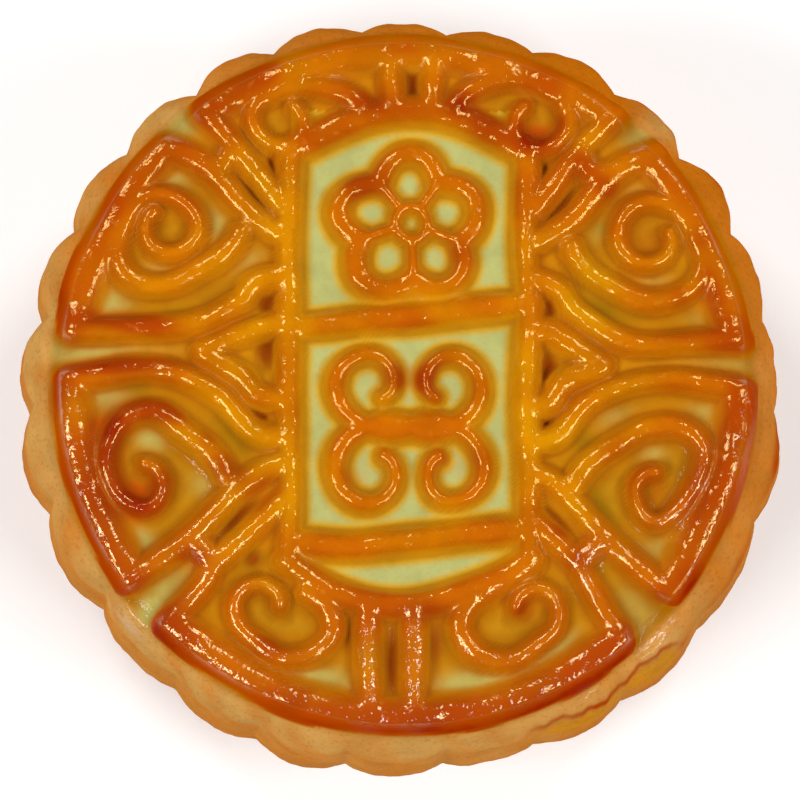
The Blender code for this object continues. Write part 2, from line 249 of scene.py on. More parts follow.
@dataclass
class RidgePattern:
    """The moulded line pattern: its sizes and the paths of its ridges, seen from above."""

    rim_arcs: tuple[Pair, ...] = (
        (51.5, 126.5), (135.4, 171.0), (179.6, 216.4), (227.0, 310.2), (322.0, 358.6), (7.6, 42.0),
    )
    edges: tuple[tuple[Point, ...], ...] = (
        ((-21.4, 21.2), (-17.8, 19.4), (-14.2, 15.3), (-10.2, 12.8)),
        ((-29.9, 4.8), (-20.0, 4.9), (-15.0, 7.0), (-13.3, 8.8), (-10.2, 9.8)),
        ((-30.3, 0.3), (-23.0, 1.0), (-17.0, -1.2), (-13.6, -4.7), (-10.2, -5.4)),
        ((-24.4, -17.9), (-19.3, -14.0), (-14.4, -9.2), (-10.2, -7.2)),
        ((23.1, 20.8), (19.2, 18.7), (15.2, 14.6), (11.1, 12.2)),
        ((30.4, 3.9), (21.0, 3.7), (15.9, 6.1), (14.0, 8.3), (11.1, 9.6)),
        ((30.4, -0.6), (22.0, 0.0), (17.0, -1.4), (13.8, -4.7), (11.1, -5.7)),
        ((23.5, -18.4), (18.0, -14.1), (13.6, -9.5), (11.1, -8.0)),
        ((-18.2, 24.4), (-14.6, 20.4), (-10.2, 15.1)),
        ((19.1, 24.3), (15.9, 20.4), (11.1, 15.0)),
        ((-20.7, -21.9), (-17.7, -17.8), (-17.8, -15.4), (-19.3, -14.1)),
        ((19.3, -22.6), (16.0, -17.3), (16.4, -15.6), (18.0, -14.2)),
    )
    links: tuple[tuple[Point, ...], ...] = (
        ((-17.8, 19.2), (-16.1, 19.5), (-15.3, 21.2)),
        ((18.8, 18.4), (17.0, 18.8), (16.2, 20.6)),
        ((-17.0, -16.2), (-13.8, -13.5), (-10.2, -10.2)),
        ((15.9, -16.8), (12.4, -13.7), (11.1, -12.3)),
        ((-10.2, 5.4), (-14.5, 4.1), (-18.1, 2.6)),
        ((-18.1, 2.5), (-14.5, 0.3), (-13.0, -1.4), (-10.2, -2.0)),
        ((11.1, 3.6), (12.8, 4.4), (17.9, 1.8)),
        ((17.9, 1.6), (14.7, 0.3), (13.3, -1.5), (11.1, -2.4)),
    )
    curls: tuple[tuple[Point, float, int, tuple[float, ...]], ...] = (
        ((-21.6, 13.9), -5, -1, (6.9, 5.0, 5.3, 5.4, 3.7, 3.0, 2.8, 2.8, 3.0, 2.8, 2.5, 2.2, 1.7, 1.4)),
        ((-23.2, -8.6), 0, 1, (7.0, 5.3, 5.8, 4.7, 3.3, 2.9, 2.8, 1.9, 1.3, 1.2, 1.2)),
        ((22.3, 13.2), 188, 1, (7.1, 5.6, 5.7, 5.6, 3.8, 3.1, 3.1, 3.1, 2.9, 2.7, 2.5, 2.2, 1.7)),
        ((22.6, -9.2), 180, -1, (7.6, 5.0, 4.9, 5.5, 3.5, 3.1, 3.4, 2.4, 1.9, 1.3, 1.0)),
        ((-11.0, 23.4), 11, 1, (7.4, 4.2, 2.8, 2.8, 2.4, 2.1, 2.0, 2.0, 1.9, 1.8)),
        ((12.0, 23.3), 169, -1, (7.8, 5.0, 3.4, 2.9, 2.9, 2.5, 2.3, 2.3, 2.0, 1.8)),
        ((-12.0, -20.8), 28, -1, (4.0, 6.1, 4.7, 3.2, 3.1, 3.2, 2.8, 1.9, 1.2)),
        ((10.8, -21.0), 152, 1, (4.1, 6.2, 4.5, 2.8, 2.8, 2.8, 2.5, 1.8, 1.4)),
    )
    posts: Pair = (-10.15, 11.1)
    post_tops: Pair = (21.0, 20.7)
    post_foot: float = -16.2
    arch_top: float = 24.7
    lower_arc_foot: float = -20.1
    lower_arc_overhang: float = 0.3
    cross_bars: tuple[Pair, ...] = ((5.0, 6.9), (-14.7, -13.7))
    top_uprights: tuple[float, ...] = (-1.2, 2.5)
    bottom_uprights: tuple[float, ...] = (-3.0, 0.9)
    top_upright_ends: Pair = (24.9, 29.4)
    bottom_upright_ends: Pair = (-20.3, -29.4)
    blossom_middle: Point = (0.5, 14.2)
    blossom_radius: float = 5.6
    blossom_wave: float = 0.95
    blossom_petals: int = 5
    blossom_eye: float = 1.5
    knot_middle: Point = (0.5, -4.2)
    knot_spread: Point = (3.5, 3.65)
    knot_first: float = -133
    knot_curl: tuple[float, ...] = (5.05, 3.8, 3.3, 3.15, 3.05, 2.85, 2.4, 1.9, 1.4)

    def sectors(self) -> list[Ridge]:
        """Draw the rim's arcs, the sectors' edges and links, and the curls.

        Returns:
            The ridges.
        """
        rim = [
            Ridge(RidgeKind.RIM, circle((0, 0), RIM_RADIUS, start, end), RIM_IN, RIM_OUT)
            for start, end in self.rim_arcs
        ]
        edges = [Ridge(RidgeKind.EDGE, spline(list(points))) for points in self.edges + self.links]
        curls = [Ridge(RidgeKind.CURL, curl(*turn), end_half=CURL_END_HALF) for turn in self.curls]
        return rim + edges + curls

    def panel_frame(self) -> list[Ridge]:
        """Draw the frame's posts, arch, cross bars and lower arc, and its bars out to the rim.

        Returns:
            The ridges.
        """
        left, right = self.posts
        ends = list(zip(self.posts, self.post_tops))
        out = self.lower_arc_overhang
        feet = [(left - out, self.post_foot), (right + out, self.post_foot)]
        ridges = [Ridge(RidgeKind.POST, np.array([top, (top[0], self.post_foot)])) for top in ends]
        bars = [bow(*ends, self.arch_top), bow(*feet, self.lower_arc_foot)]
        bars += [np.array([(left, low), (right, high)]) for low, high in self.cross_bars]
        ridges += [Ridge(RidgeKind.BAR, path, ARCH_HALF, ARCH_HALF) for path in bars]
        for places, (inner, outer) in (
            (self.top_uprights, self.top_upright_ends),
            (self.bottom_uprights, self.bottom_upright_ends),
        ):
            ridges += [Ridge(RidgeKind.EDGE, np.array([(x, inner), (x, outer)])) for x in places]
        return ridges

    def ornament(self, path: np.ndarray, half: float = ORNAMENT_HALF, end: float | None = None) -> Ridge:
        """Return a ridge of the panels' ornaments, as wide on its left as on its right."""
        return Ridge(RidgeKind.ORNAMENT, path, half, half, end)

    def blossom(self) -> list[Ridge]:
        """Draw the five-petalled outline, its eye and its stamens.

        Returns:
            The ridges.
        """
        angle = np.linspace(0, 2 * math.pi, CIRCLE_POINTS)
        wave = 2 * np.abs(np.cos(self.blossom_petals * (angle - math.pi / 2) / 2)) - 1
        outline = circle(self.blossom_middle, self.blossom_radius + self.blossom_wave * wave)
        eye = circle(self.blossom_middle, self.blossom_eye)
        ridges = [self.ornament(outline), self.ornament(eye, STAMEN_HALF)]
        reach = np.array([[self.blossom_eye], [self.blossom_radius - self.blossom_wave]])
        for index in range(self.blossom_petals):
            a = 2 * math.pi * (index + 0.5) / self.blossom_petals + math.pi / 2
            stamen = np.array(self.blossom_middle) + reach * (math.cos(a), math.sin(a))
            ridges.append(self.ornament(stamen, STAMEN_HALF))
        return ridges

    def knot(self) -> list[Ridge]:
        """Draw the four scrolls, each one the mirror of the next.

        Returns:
            The ridges.
        """
        scroll = curl(self.knot_spread, self.knot_first, 1, self.knot_curl)
        turns = [(1, 1), (1, -1), (-1, 1), (-1, -1)]
        paths = [np.array(self.knot_middle) + scroll * turn for turn in turns]
        return [self.ornament(path, end=CURL_END_HALF) for path in paths]

    def panels(self, x: np.ndarray, y: np.ndarray) -> np.ndarray:
        """Tell which places lie in the panels: between the posts, below the arch and above the lower arc.

        Args:
            x: The places' x.
            y: The places' y.

        Returns:
            True for each place in a panel.
        """
        left, right = self.posts
        across = (2 * x - left - right) / (right - left)
        lowest = self.lower_arc_foot + (self.post_foot - self.lower_arc_foot) * across**2
        return (np.abs(across) < 1) & (y > lowest) & (y < self.arch_top)


@dataclass
class ReliefMap:
    """Fields over the cake's top, on a square raster seen from above, in millimetres.

    Each lump is a height, a half-size and a seed.
    """

    spacing: float = 0.125
    reach: float = 33.0
    blend: float = 0.3
    margin: float = 4.0
    ground_blur: float = 1.1
    edge_blur: float = 0.12
    faint: float = 0.01
    lumps: tuple[Lumps, ...] = ((0.045, 1.4, 13), (0.025, 0.5, 14))
    grit: Lumps = (0.01, 0.45, 17)
    x: np.ndarray = field(init=False)
    y: np.ndarray = field(init=False)
    ridges: np.ndarray = field(init=False)
    height: np.ndarray = field(init=False)
    gap: np.ndarray = field(init=False)

    def __post_init__(self) -> None:
        """Start with a bare floor that no ridge is near."""
        line = np.arange(-self.reach, self.reach + self.spacing / 2, self.spacing)
        self.x, self.y = np.meshgrid(line, line, indexing="ij")
        self.ridges = np.zeros_like(self.x)
        self.height = np.zeros_like(self.x)
        self.gap = np.full_like(self.x, self.reach)

    def add(self, ridge: Ridge, bend: tuple[np.ndarray, np.ndarray]) -> None:
        """Raise a ridge out of the floor: a round one, but with a steep face on the rim's outer side.

        Args:
            ridge: The ridge.
            bend: How far each place is shifted before it is measured, which makes the lines uneven.
        """
        low = np.searchsorted(self.x[:, 0], ridge.path.min(axis=0) - self.margin)
        high = np.searchsorted(self.x[:, 0], ridge.path.max(axis=0) + self.margin)
        at = (slice(low[0], high[0]), slice(low[1], high[1]))
        share, gap = ridge.nearest(self.x[at] + bend[0][at], self.y[at] + bend[1][at])
        steep = (ridge.kind is RidgeKind.RIM) & (np.hypot(self.x[at], self.y[at]) > RIM_RADIUS)
        section = np.where(steep, STEEP_SECTION.height(share), ROUND_SECTION.height(share))
        self.ridges[at] = self.merged(ridge.kind.value * RELIEF * section, self.ridges[at])
        self.gap[at] = np.minimum(self.gap[at], gap)

    def merged(self, first: np.ndarray, second: np.ndarray) -> np.ndarray:
        """Return the higher of two surfaces, a and b, with a fillet of (blend - |a - b|)^2 / (4 blend)."""
        fillet = np.clip(self.blend - np.abs(first - second), 0, None) ** 2 / (4 * self.blend)
        return np.maximum(first, second) + fillet * (np.maximum(first, second) > self.faint)

    def settle(self, depth: np.ndarray) -> None:
        """Let the dough stand higher in the narrow places, which a mould presses less deeply.

        The ground there rises to the depth's share of the blurred ridges, and lumps and grit lie over it.

        Args:
            depth: How far the ground rises, as a share.
        """
        ground = self.merged(self.ridges, depth * self.blurred(self.ridges, self.ground_blur))
        lumps = 1 + sum(height * self.noise(width, seed) for height, width, seed in self.lumps)
        height, width, seed = self.grit
        self.height = self.blurred(ground, self.edge_blur) * lumps + height * self.noise(width, seed)

    def blurred(self, values: np.ndarray, width: float) -> np.ndarray:
        """Blur a field by a Gaussian: its spectrum times exp(-(width * frequency)^2 / 2).

        Args:
            values: The field.
            width: The Gaussian's standard deviation, in millimetres.

        Returns:
            The blurred field.
        """
        frequency = 2 * math.pi * np.fft.fftfreq(len(values), self.spacing)
        filtered = np.exp(-0.5 * (width * frequency) ** 2)
        return np.fft.ifft2(np.fft.fft2(values) * filtered[:, None] * filtered[None, :]).real

    def noise(self, width: float, seed: int) -> np.ndarray:
        """Return seeded white noise, blurred to lumps of this half-size and scaled to a deviation of 1."""
        lumps = self.blurred(np.random.default_rng(seed).standard_normal(self.x.shape), width)
        return lumps / lumps.std()

    def sampled(self, values: np.ndarray, x: np.ndarray, y: np.ndarray) -> np.ndarray:
        """Read a field at places, blending the four nearest of its points by their closeness.

        Args:
            values: The field.
            x: The places' x.
            y: The places' y.

        Returns:
            The field at the places.
        """
        u = np.clip((x + self.reach) / self.spacing, 0, len(values) - 1.001)
        v = np.clip((y + self.reach) / self.spacing, 0, len(values) - 1.001)
        i, j = u.astype(int), v.astype(int)
        fu, fv = u - i, v - j
        near = values[i, j] * (1 - fv) + values[i, j + 1] * fv
        far = values[i + 1, j] * (1 - fv) + values[i + 1, j + 1] * fv
        return near * (1 - fu) + far * fu


@dataclass(frozen=True)
class Patch:
    """A soft-edged patch of the crust that differs from its surroundings."""

    x: float
    y: float
    radius: float
    strength: float
    stretch: float = 1.0
    turn: float = 0.0

    def over(self, x: np.ndarray, y: np.ndarray) -> np.ndarray:
        """Spread the patch: strength * exp(-d^2), where d is the distance over the stretched radius.

        Args:
            x: The places' x.
            y: The places' y.

        Returns:
            The patch's strength at the places.
        """
        c, s = math.cos(math.radians(self.turn)), math.sin(math.radians(self.turn))
        along = ((x - self.x) * c + (y - self.y) * s) / (self.radius * self.stretch)
        across = ((y - self.y) * c - (x - self.x) * s) / self.radius
        return self.strength * np.exp(-(along**2) - across**2)


Patches = tuple[Patch, ...]


def patches(*rows: tuple[float, ...]) -> Patches:
    """Return a patch for each row of x, y, radius, strength and, where it has them, stretch and turn."""
    return tuple(Patch(*row) for row in rows)


@dataclass(frozen=True)
class Places:
    """Places on the cake, seen from above, in millimetres, and what the relief is there."""

    relief: ReliefMap
    x: np.ndarray
    y: np.ndarray

    def read(self, values: np.ndarray) -> np.ndarray:
        """Return a field of the relief at the places."""
        return self.relief.sampled(values, self.x, self.y)

    def lumps(self, height: float, width: float, seed: int) -> np.ndarray:
        """Return seeded lumps of this height and half-size at the places."""
        return height * self.read(self.relief.noise(width, seed))

    def under(self, group: Patches) -> np.ndarray:
        """Return the summed strength of a group of patches at the places."""
        return sum(patch.over(self.x, self.y) for patch in group)

    def facing(self, direction: float) -> np.ndarray:
        """Return 1 in this direction from the middle and 0 away from it: half of 1 + cos(angle between)."""
        return 0.5 + 0.5 * np.cos(np.arctan2(self.y, self.x) - direction)


class NodeSheet:
    """A node tree that is written down one node at a time."""

    def __init__(self, tree: bpy.types.NodeTree) -> None:
        """Hold the tree."""
        self.tree = tree

    def add(self, kind: str, inputs: Inputs | None = None, **settings: object) -> bpy.types.Node:
        """Add a node.

        Args:
            kind: The node's type.
            inputs: What each named or numbered input takes: a socket to link, or a value.
            **settings: The node's own properties.

        Returns:
            The node.
        """
        node = self.tree.nodes.new(kind)
        for name, value in settings.items():
            setattr(node, name, value)
        self.feed(node, inputs or {})
        return node

    def feed(self, node: bpy.types.Node, inputs: Inputs) -> None:
        """Feed a node.

        Args:
            node: The node.
            inputs: What each named or numbered input takes: a socket to link, or a value.
        """
        for key, value in inputs.items():
            if isinstance(value, Socket):
                self.tree.links.new(value, node.inputs[key])
            else:
                node.inputs[key].default_value = value

    def attribute(self, name: str) -> Socket:
        """Return the value of a mesh attribute."""
        return self.add("ShaderNodeAttribute", attribute_name=name).outputs["Fac"]

    def maths(self, operation: str, *values: object) -> Socket:
        """Return the result of a Math node on the values."""
        return self.add("ShaderNodeMath", dict(enumerate(values)), operation=operation).outputs[0]

    def product(self, first: object, second: object) -> Socket:
        """Return the product of two values."""
        return self.maths("MULTIPLY", first, second)

    def place(self) -> Socket:
        """Return the place on the object, in its own coordinates."""
        return self.add("ShaderNodeTexCoord").outputs["Object"]

    def noise(self, scale: float, detail: float, **more: object) -> Socket:
        """Return noise over the object, its lumps 1 / scale of a metre across."""
        inputs = {"Vector": self.place(), "Scale": scale, "Detail": detail, **more}
        return self.add("ShaderNodeTexNoise", inputs).outputs[0]

    def bump(self, height: Socket, strength: float) -> Socket:
        """Return the normal of a bump whose height counts in units of BUMP_DEPTH millimetres."""
        inputs = {"Height": height, "Strength": strength, "Distance": BUMP_DEPTH * MM}
        return self.add("ShaderNodeBump", inputs).outputs["Normal"]

    def eased(self, value: Socket, low: float, high: float) -> Socket:
        """Return the value eased from 0 at low to 1 at high."""
        inputs = {"Value": value, "From Min": low, "From Max": high}
        return self.add("ShaderNodeMapRange", inputs, interpolation_type="SMOOTHSTEP").outputs["Result"]

    def ranged(self, value: Socket, low: float, high: float) -> Socket:
        """Return the value, which runs from 0 to 1, carried to low to high."""
        inputs = {"Value": value, "To Min": low, "To Max": high}
        return self.add("ShaderNodeMapRange", inputs).outputs["Result"]

    def mixed(self, share: object, first: object, second: object, blend: str = "MIX") -> Socket:
        """Return two colours mixed by a share.

        Args:
            share: How much of the second is taken.
            first: A colour or a socket.
            second: A colour or a socket.
            blend: How they are mixed.

        Returns:
            The mixed colour.
        """
        tones = (tone if isinstance(tone, Socket) else (*tone, 1.0) for tone in (first, second))
        inputs = dict(zip((0, 6, 7), (share, *tones)))
        return self.add("ShaderNodeMix", inputs, data_type="RGBA", blend_type=blend).outputs[2]


def placed(name: str, data: bpy.types.ID) -> bpy.types.Object:
    """Put an object into the scene.

    Args:
        name: Its name.
        data: Its mesh, light or camera.

    Returns:
        The object.
    """
    made = bpy.data.objects.new(name, data)
    bpy.context.scene.collection.objects.link(made)
    return made


def new_piece(name: str, points: np.ndarray, faces: list[list[int]]) -> bpy.types.Object:
    """Make a piece from its points and faces.

    Args:
        name: Its name.
        points: Its points, in metres.
        faces: The numbers of each face's points.

    Returns:
        The piece.
    """
    mesh = bpy.data.meshes.new(name)
    mesh.from_pydata(points.tolist(), [], faces)
    return placed(name, mesh)


def new_finish(name: str) -> tuple[bpy.types.Material, NodeSheet, bpy.types.Node]:
    """Start a material.

    Args:
        name: Its name.

    Returns:
        The material, its sheet and its shader.
    """
    material = bpy.data.materials.new(name)
    material.use_nodes = True
    return material, NodeSheet(material.node_tree), material.node_tree.nodes["Principled BSDF"]


def crumb_group() -> bpy.types.NodeTree:
    """Make the fine grain of baked dough: two sizes of noise, less pores.

    Returns:
        The group, with input Pores, and outputs Height, Mottle and Speckle.
    """
    tree = bpy.data.node_groups.new("crumb", "ShaderNodeTree")
    tree.interface.new_socket("Pores", in_out="INPUT", socket_type="NodeSocketFloat").default_value = 0.5
    for label in ("Height", "Mottle", "Speckle"):
        tree.interface.new_socket(label, in_out="OUTPUT", socket_type="NodeSocketFloat")
    sheet = NodeSheet(tree)
    pores = sheet.add("NodeGroupInput").outputs["Pores"]
    grain = sheet.noise(2600.0, 3.0, Roughness=0.6)
    blotch = sheet.noise(320.0, 4.0, Roughness=0.55)
    cells = {"Vector": sheet.place(), "Scale": 1500.0}
    pits = sheet.add("ShaderNodeTexVoronoi", cells, feature="SMOOTH_F1").outputs["Distance"]
    pit = sheet.product(sheet.eased(pits, 0.28, 0.05), pores)
    height = sheet.maths("SUBTRACT", sheet.maths("MULTIPLY_ADD", blotch, 0.5, grain), pit)
    masks = {"Mottle": sheet.eased(blotch, 0.3, 0.7), "Speckle": sheet.eased(grain, 0.5, 0.7)}
    sheet.add("NodeGroupOutput", {"Height": height, **masks})
    return tree


@dataclass(frozen=True)
class GlazedCrust:
    """Browned dough under egg wash: pale in the floors, golden on the slopes, orange on the crests, painted
    shade in hollows.
    """

    name: str = "glazed_crust"
    specular: float = 0.5
    coarseness: float = 0.08
    pale_floor: Colour = linear(158, 160, 97)
    olive: Colour = linear(160, 150, 78)
    straw: Colour = linear(184, 140, 26)
    ochre: Colour = linear(164, 112, 12)
    # Painted shade for the narrow channels.
    shaded_moss: Colour = linear(124, 92, 3)
    floor: Colour = linear(152, 94, 3)
    slope: Colour = linear(172, 102, 1)
    orange: Colour = linear(180, 90, 1)
    honey: Colour = linear(184, 124, 6)
    golden: Colour = linear(196, 128, 1)
    tan: Colour = linear(186, 139, 72)
    amber: Colour = linear(186, 102, 10)
    torn: Colour = linear(190, 124, 14)
    brown: Colour = linear(158, 58, 1)
    deep: Colour = linear(136, 30, 1)
    # Painted shade: the dark colour laid into the pits and creases between the ridges.
    pit_shade: Colour = linear(144, 62, 2)
    sheen: Colour = (1.0, 0.8, 0.12)
    matte: float = 0.95
    gloss: float = 0.12
    film: float = 0.21
    wash_index: float = 1.55
    wash_roughness: float = 0.09
    wash_wrinkle: float = 1.6
    specks: float = 0.1
    side_specks: float = 0.22
    bump: float = 0.45

    def material(self, crumb: bpy.types.NodeTree) -> bpy.types.Material:
        """Make the finish.

        Args:
            crumb: The dough's grain.

        Returns:
            The material.
        """
        material, sheet, shader = new_finish(self.name)
        grain = sheet.add("ShaderNodeGroup", node_tree=crumb)
        mottle, speckle = grain.outputs["Mottle"], grain.outputs["Speckle"]
        relief, golden, glaze, wet = (sheet.attribute(name) for name in ("relief", "golden", "glaze", "wash"))
        openness, panel = sheet.attribute("openness"), sheet.attribute("panel")
        # Browning, with the painted shade under the torn lip, mottled.
        uneven = sheet.product(sheet.attribute("browning_and_shade"), sheet.ranged(mottle, 0.8, 1.2))
        side = sheet.mixed(golden, self.amber, self.torn)
        side = sheet.mixed(sheet.attribute("bare"), side, self.tan)
        side = sheet.mixed(sheet.product(speckle, self.side_specks), side, self.brown)
        # Each layer is a mask and a colour, laid over the ones before it.
        layers = (
            (sheet.product(golden, sheet.eased(relief, 0.12, 0.4)), self.honey),
            (sheet.eased(relief, 0.3, 0.75), sheet.mixed(golden, self.orange, self.golden)),
            # Painted shade: floors near the ridges' feet keep the darker floor colour, and floors clear of
            # them turn ochre.
            (sheet.attribute("clear"), self.ochre),
            # Painted shade in the narrow channels beside the frame.
            (sheet.attribute("shady"), self.shaded_moss),
            (sheet.product(sheet.eased(openness, 0.0, 0.9), sheet.ranged(mottle, 0.6, 1.0)), self.olive),
            (sheet.eased(panel, 0.02, 0.3), self.straw),
            (sheet.eased(panel, 0.22, 0.8), self.pale_floor),
            (sheet.attribute("side"), side),
            (sheet.eased(uneven, 0.0, 0.6), self.brown),
            (sheet.eased(uneven, 0.55, 1.1), self.deep),
            # Painted shade in the pits and the creases between ridges.
            (sheet.attribute("pit_shade"), self.pit_shade),
            (sheet.product(speckle, self.specks), self.brown),
        )
        colour = sheet.mixed(sheet.eased(relief, 0.05, 0.4), self.floor, self.slope)
        for share, tone in layers:
            colour = sheet.mixed(share, colour, tone)
        shades = dict.fromkeys(range(3), sheet.ranged(mottle, 0.92, 1.08))
        shade = sheet.add("ShaderNodeCombineColor", shades).outputs[0]

        film = sheet.noise(900.0, 2.0)
        shine = sheet.product(glaze, sheet.eased(film, 0.15, 0.42))
        wash = sheet.product(wet, sheet.eased(film, 0.2, 0.45))
        wrinkle = sheet.noise(1100.0, 2.5, Roughness=0.5, Distortion=0.4)
        pores = sheet.product(grain.outputs["Height"], self.coarseness)
        height = sheet.maths("MULTIPLY_ADD", wrinkle, glaze, pores)
        thick = sheet.product(wrinkle, sheet.maths("MULTIPLY_ADD", wet, self.wash_wrinkle, 1.0))
        sheet.feed(shader, {
            "Base Color": sheet.mixed(1.0, colour, shade, "MULTIPLY"),
            "Roughness": sheet.ranged(shine, self.matte, self.gloss),
            "Coat Weight": sheet.maths("MULTIPLY_ADD", shine, self.film, wash),
            "Normal": sheet.bump(height, self.bump),
            "Coat Normal": sheet.bump(thick, self.bump),
            "Specular IOR Level": self.specular,
            "Specular Tint": (*self.sheen, 1.0),
            "Coat IOR": self.wash_index,
            "Coat Roughness": self.wash_roughness,
        })
        return material


@dataclass(frozen=True)
class BakedBase:
    """The underside: matte brown dough, darkest at its edge, with fine pores and a dusting of flour.

    The edge's radii, where it begins and where it is darkest, are in metres.
    """

    middle: Colour = linear(206, 142, 70)
    edge: Colour = linear(150, 82, 26)
    flour: Colour = linear(226, 204, 168)
    dusting: float = 0.5
    edge_radii: Pair = (0.016, 0.031)
    roughness: float = 0.7
    bump: float = 0.4

    def material(self, crumb: bpy.types.NodeTree) -> bpy.types.Material:
        """Make the finish.

        Args:
            crumb: The dough's grain.

        Returns:
            The material.
        """
        material, sheet, shader = new_finish("baked_base")
        grain = sheet.add("ShaderNodeGroup", {"Pores": 1.0}, node_tree=crumb)
        out = sheet.add("ShaderNodeVectorMath", {0: sheet.place()}, operation="LENGTH").outputs["Value"]
        dust = sheet.product(sheet.eased(sheet.noise(150.0, 5.0), 0.52, 0.75), self.dusting)
        colour = sheet.mixed(sheet.eased(out, *self.edge_radii), self.middle, self.edge)
        colour = sheet.mixed(sheet.ranged(grain.outputs["Mottle"], 0.0, 0.35), colour, self.edge)
        colour = sheet.mixed(dust, colour, self.flour)
        normal = sheet.bump(grain.outputs["Height"], self.bump)
        sheet.feed(shader, {"Base Color": colour, "Normal": normal, "Roughness": self.roughness})
        return material


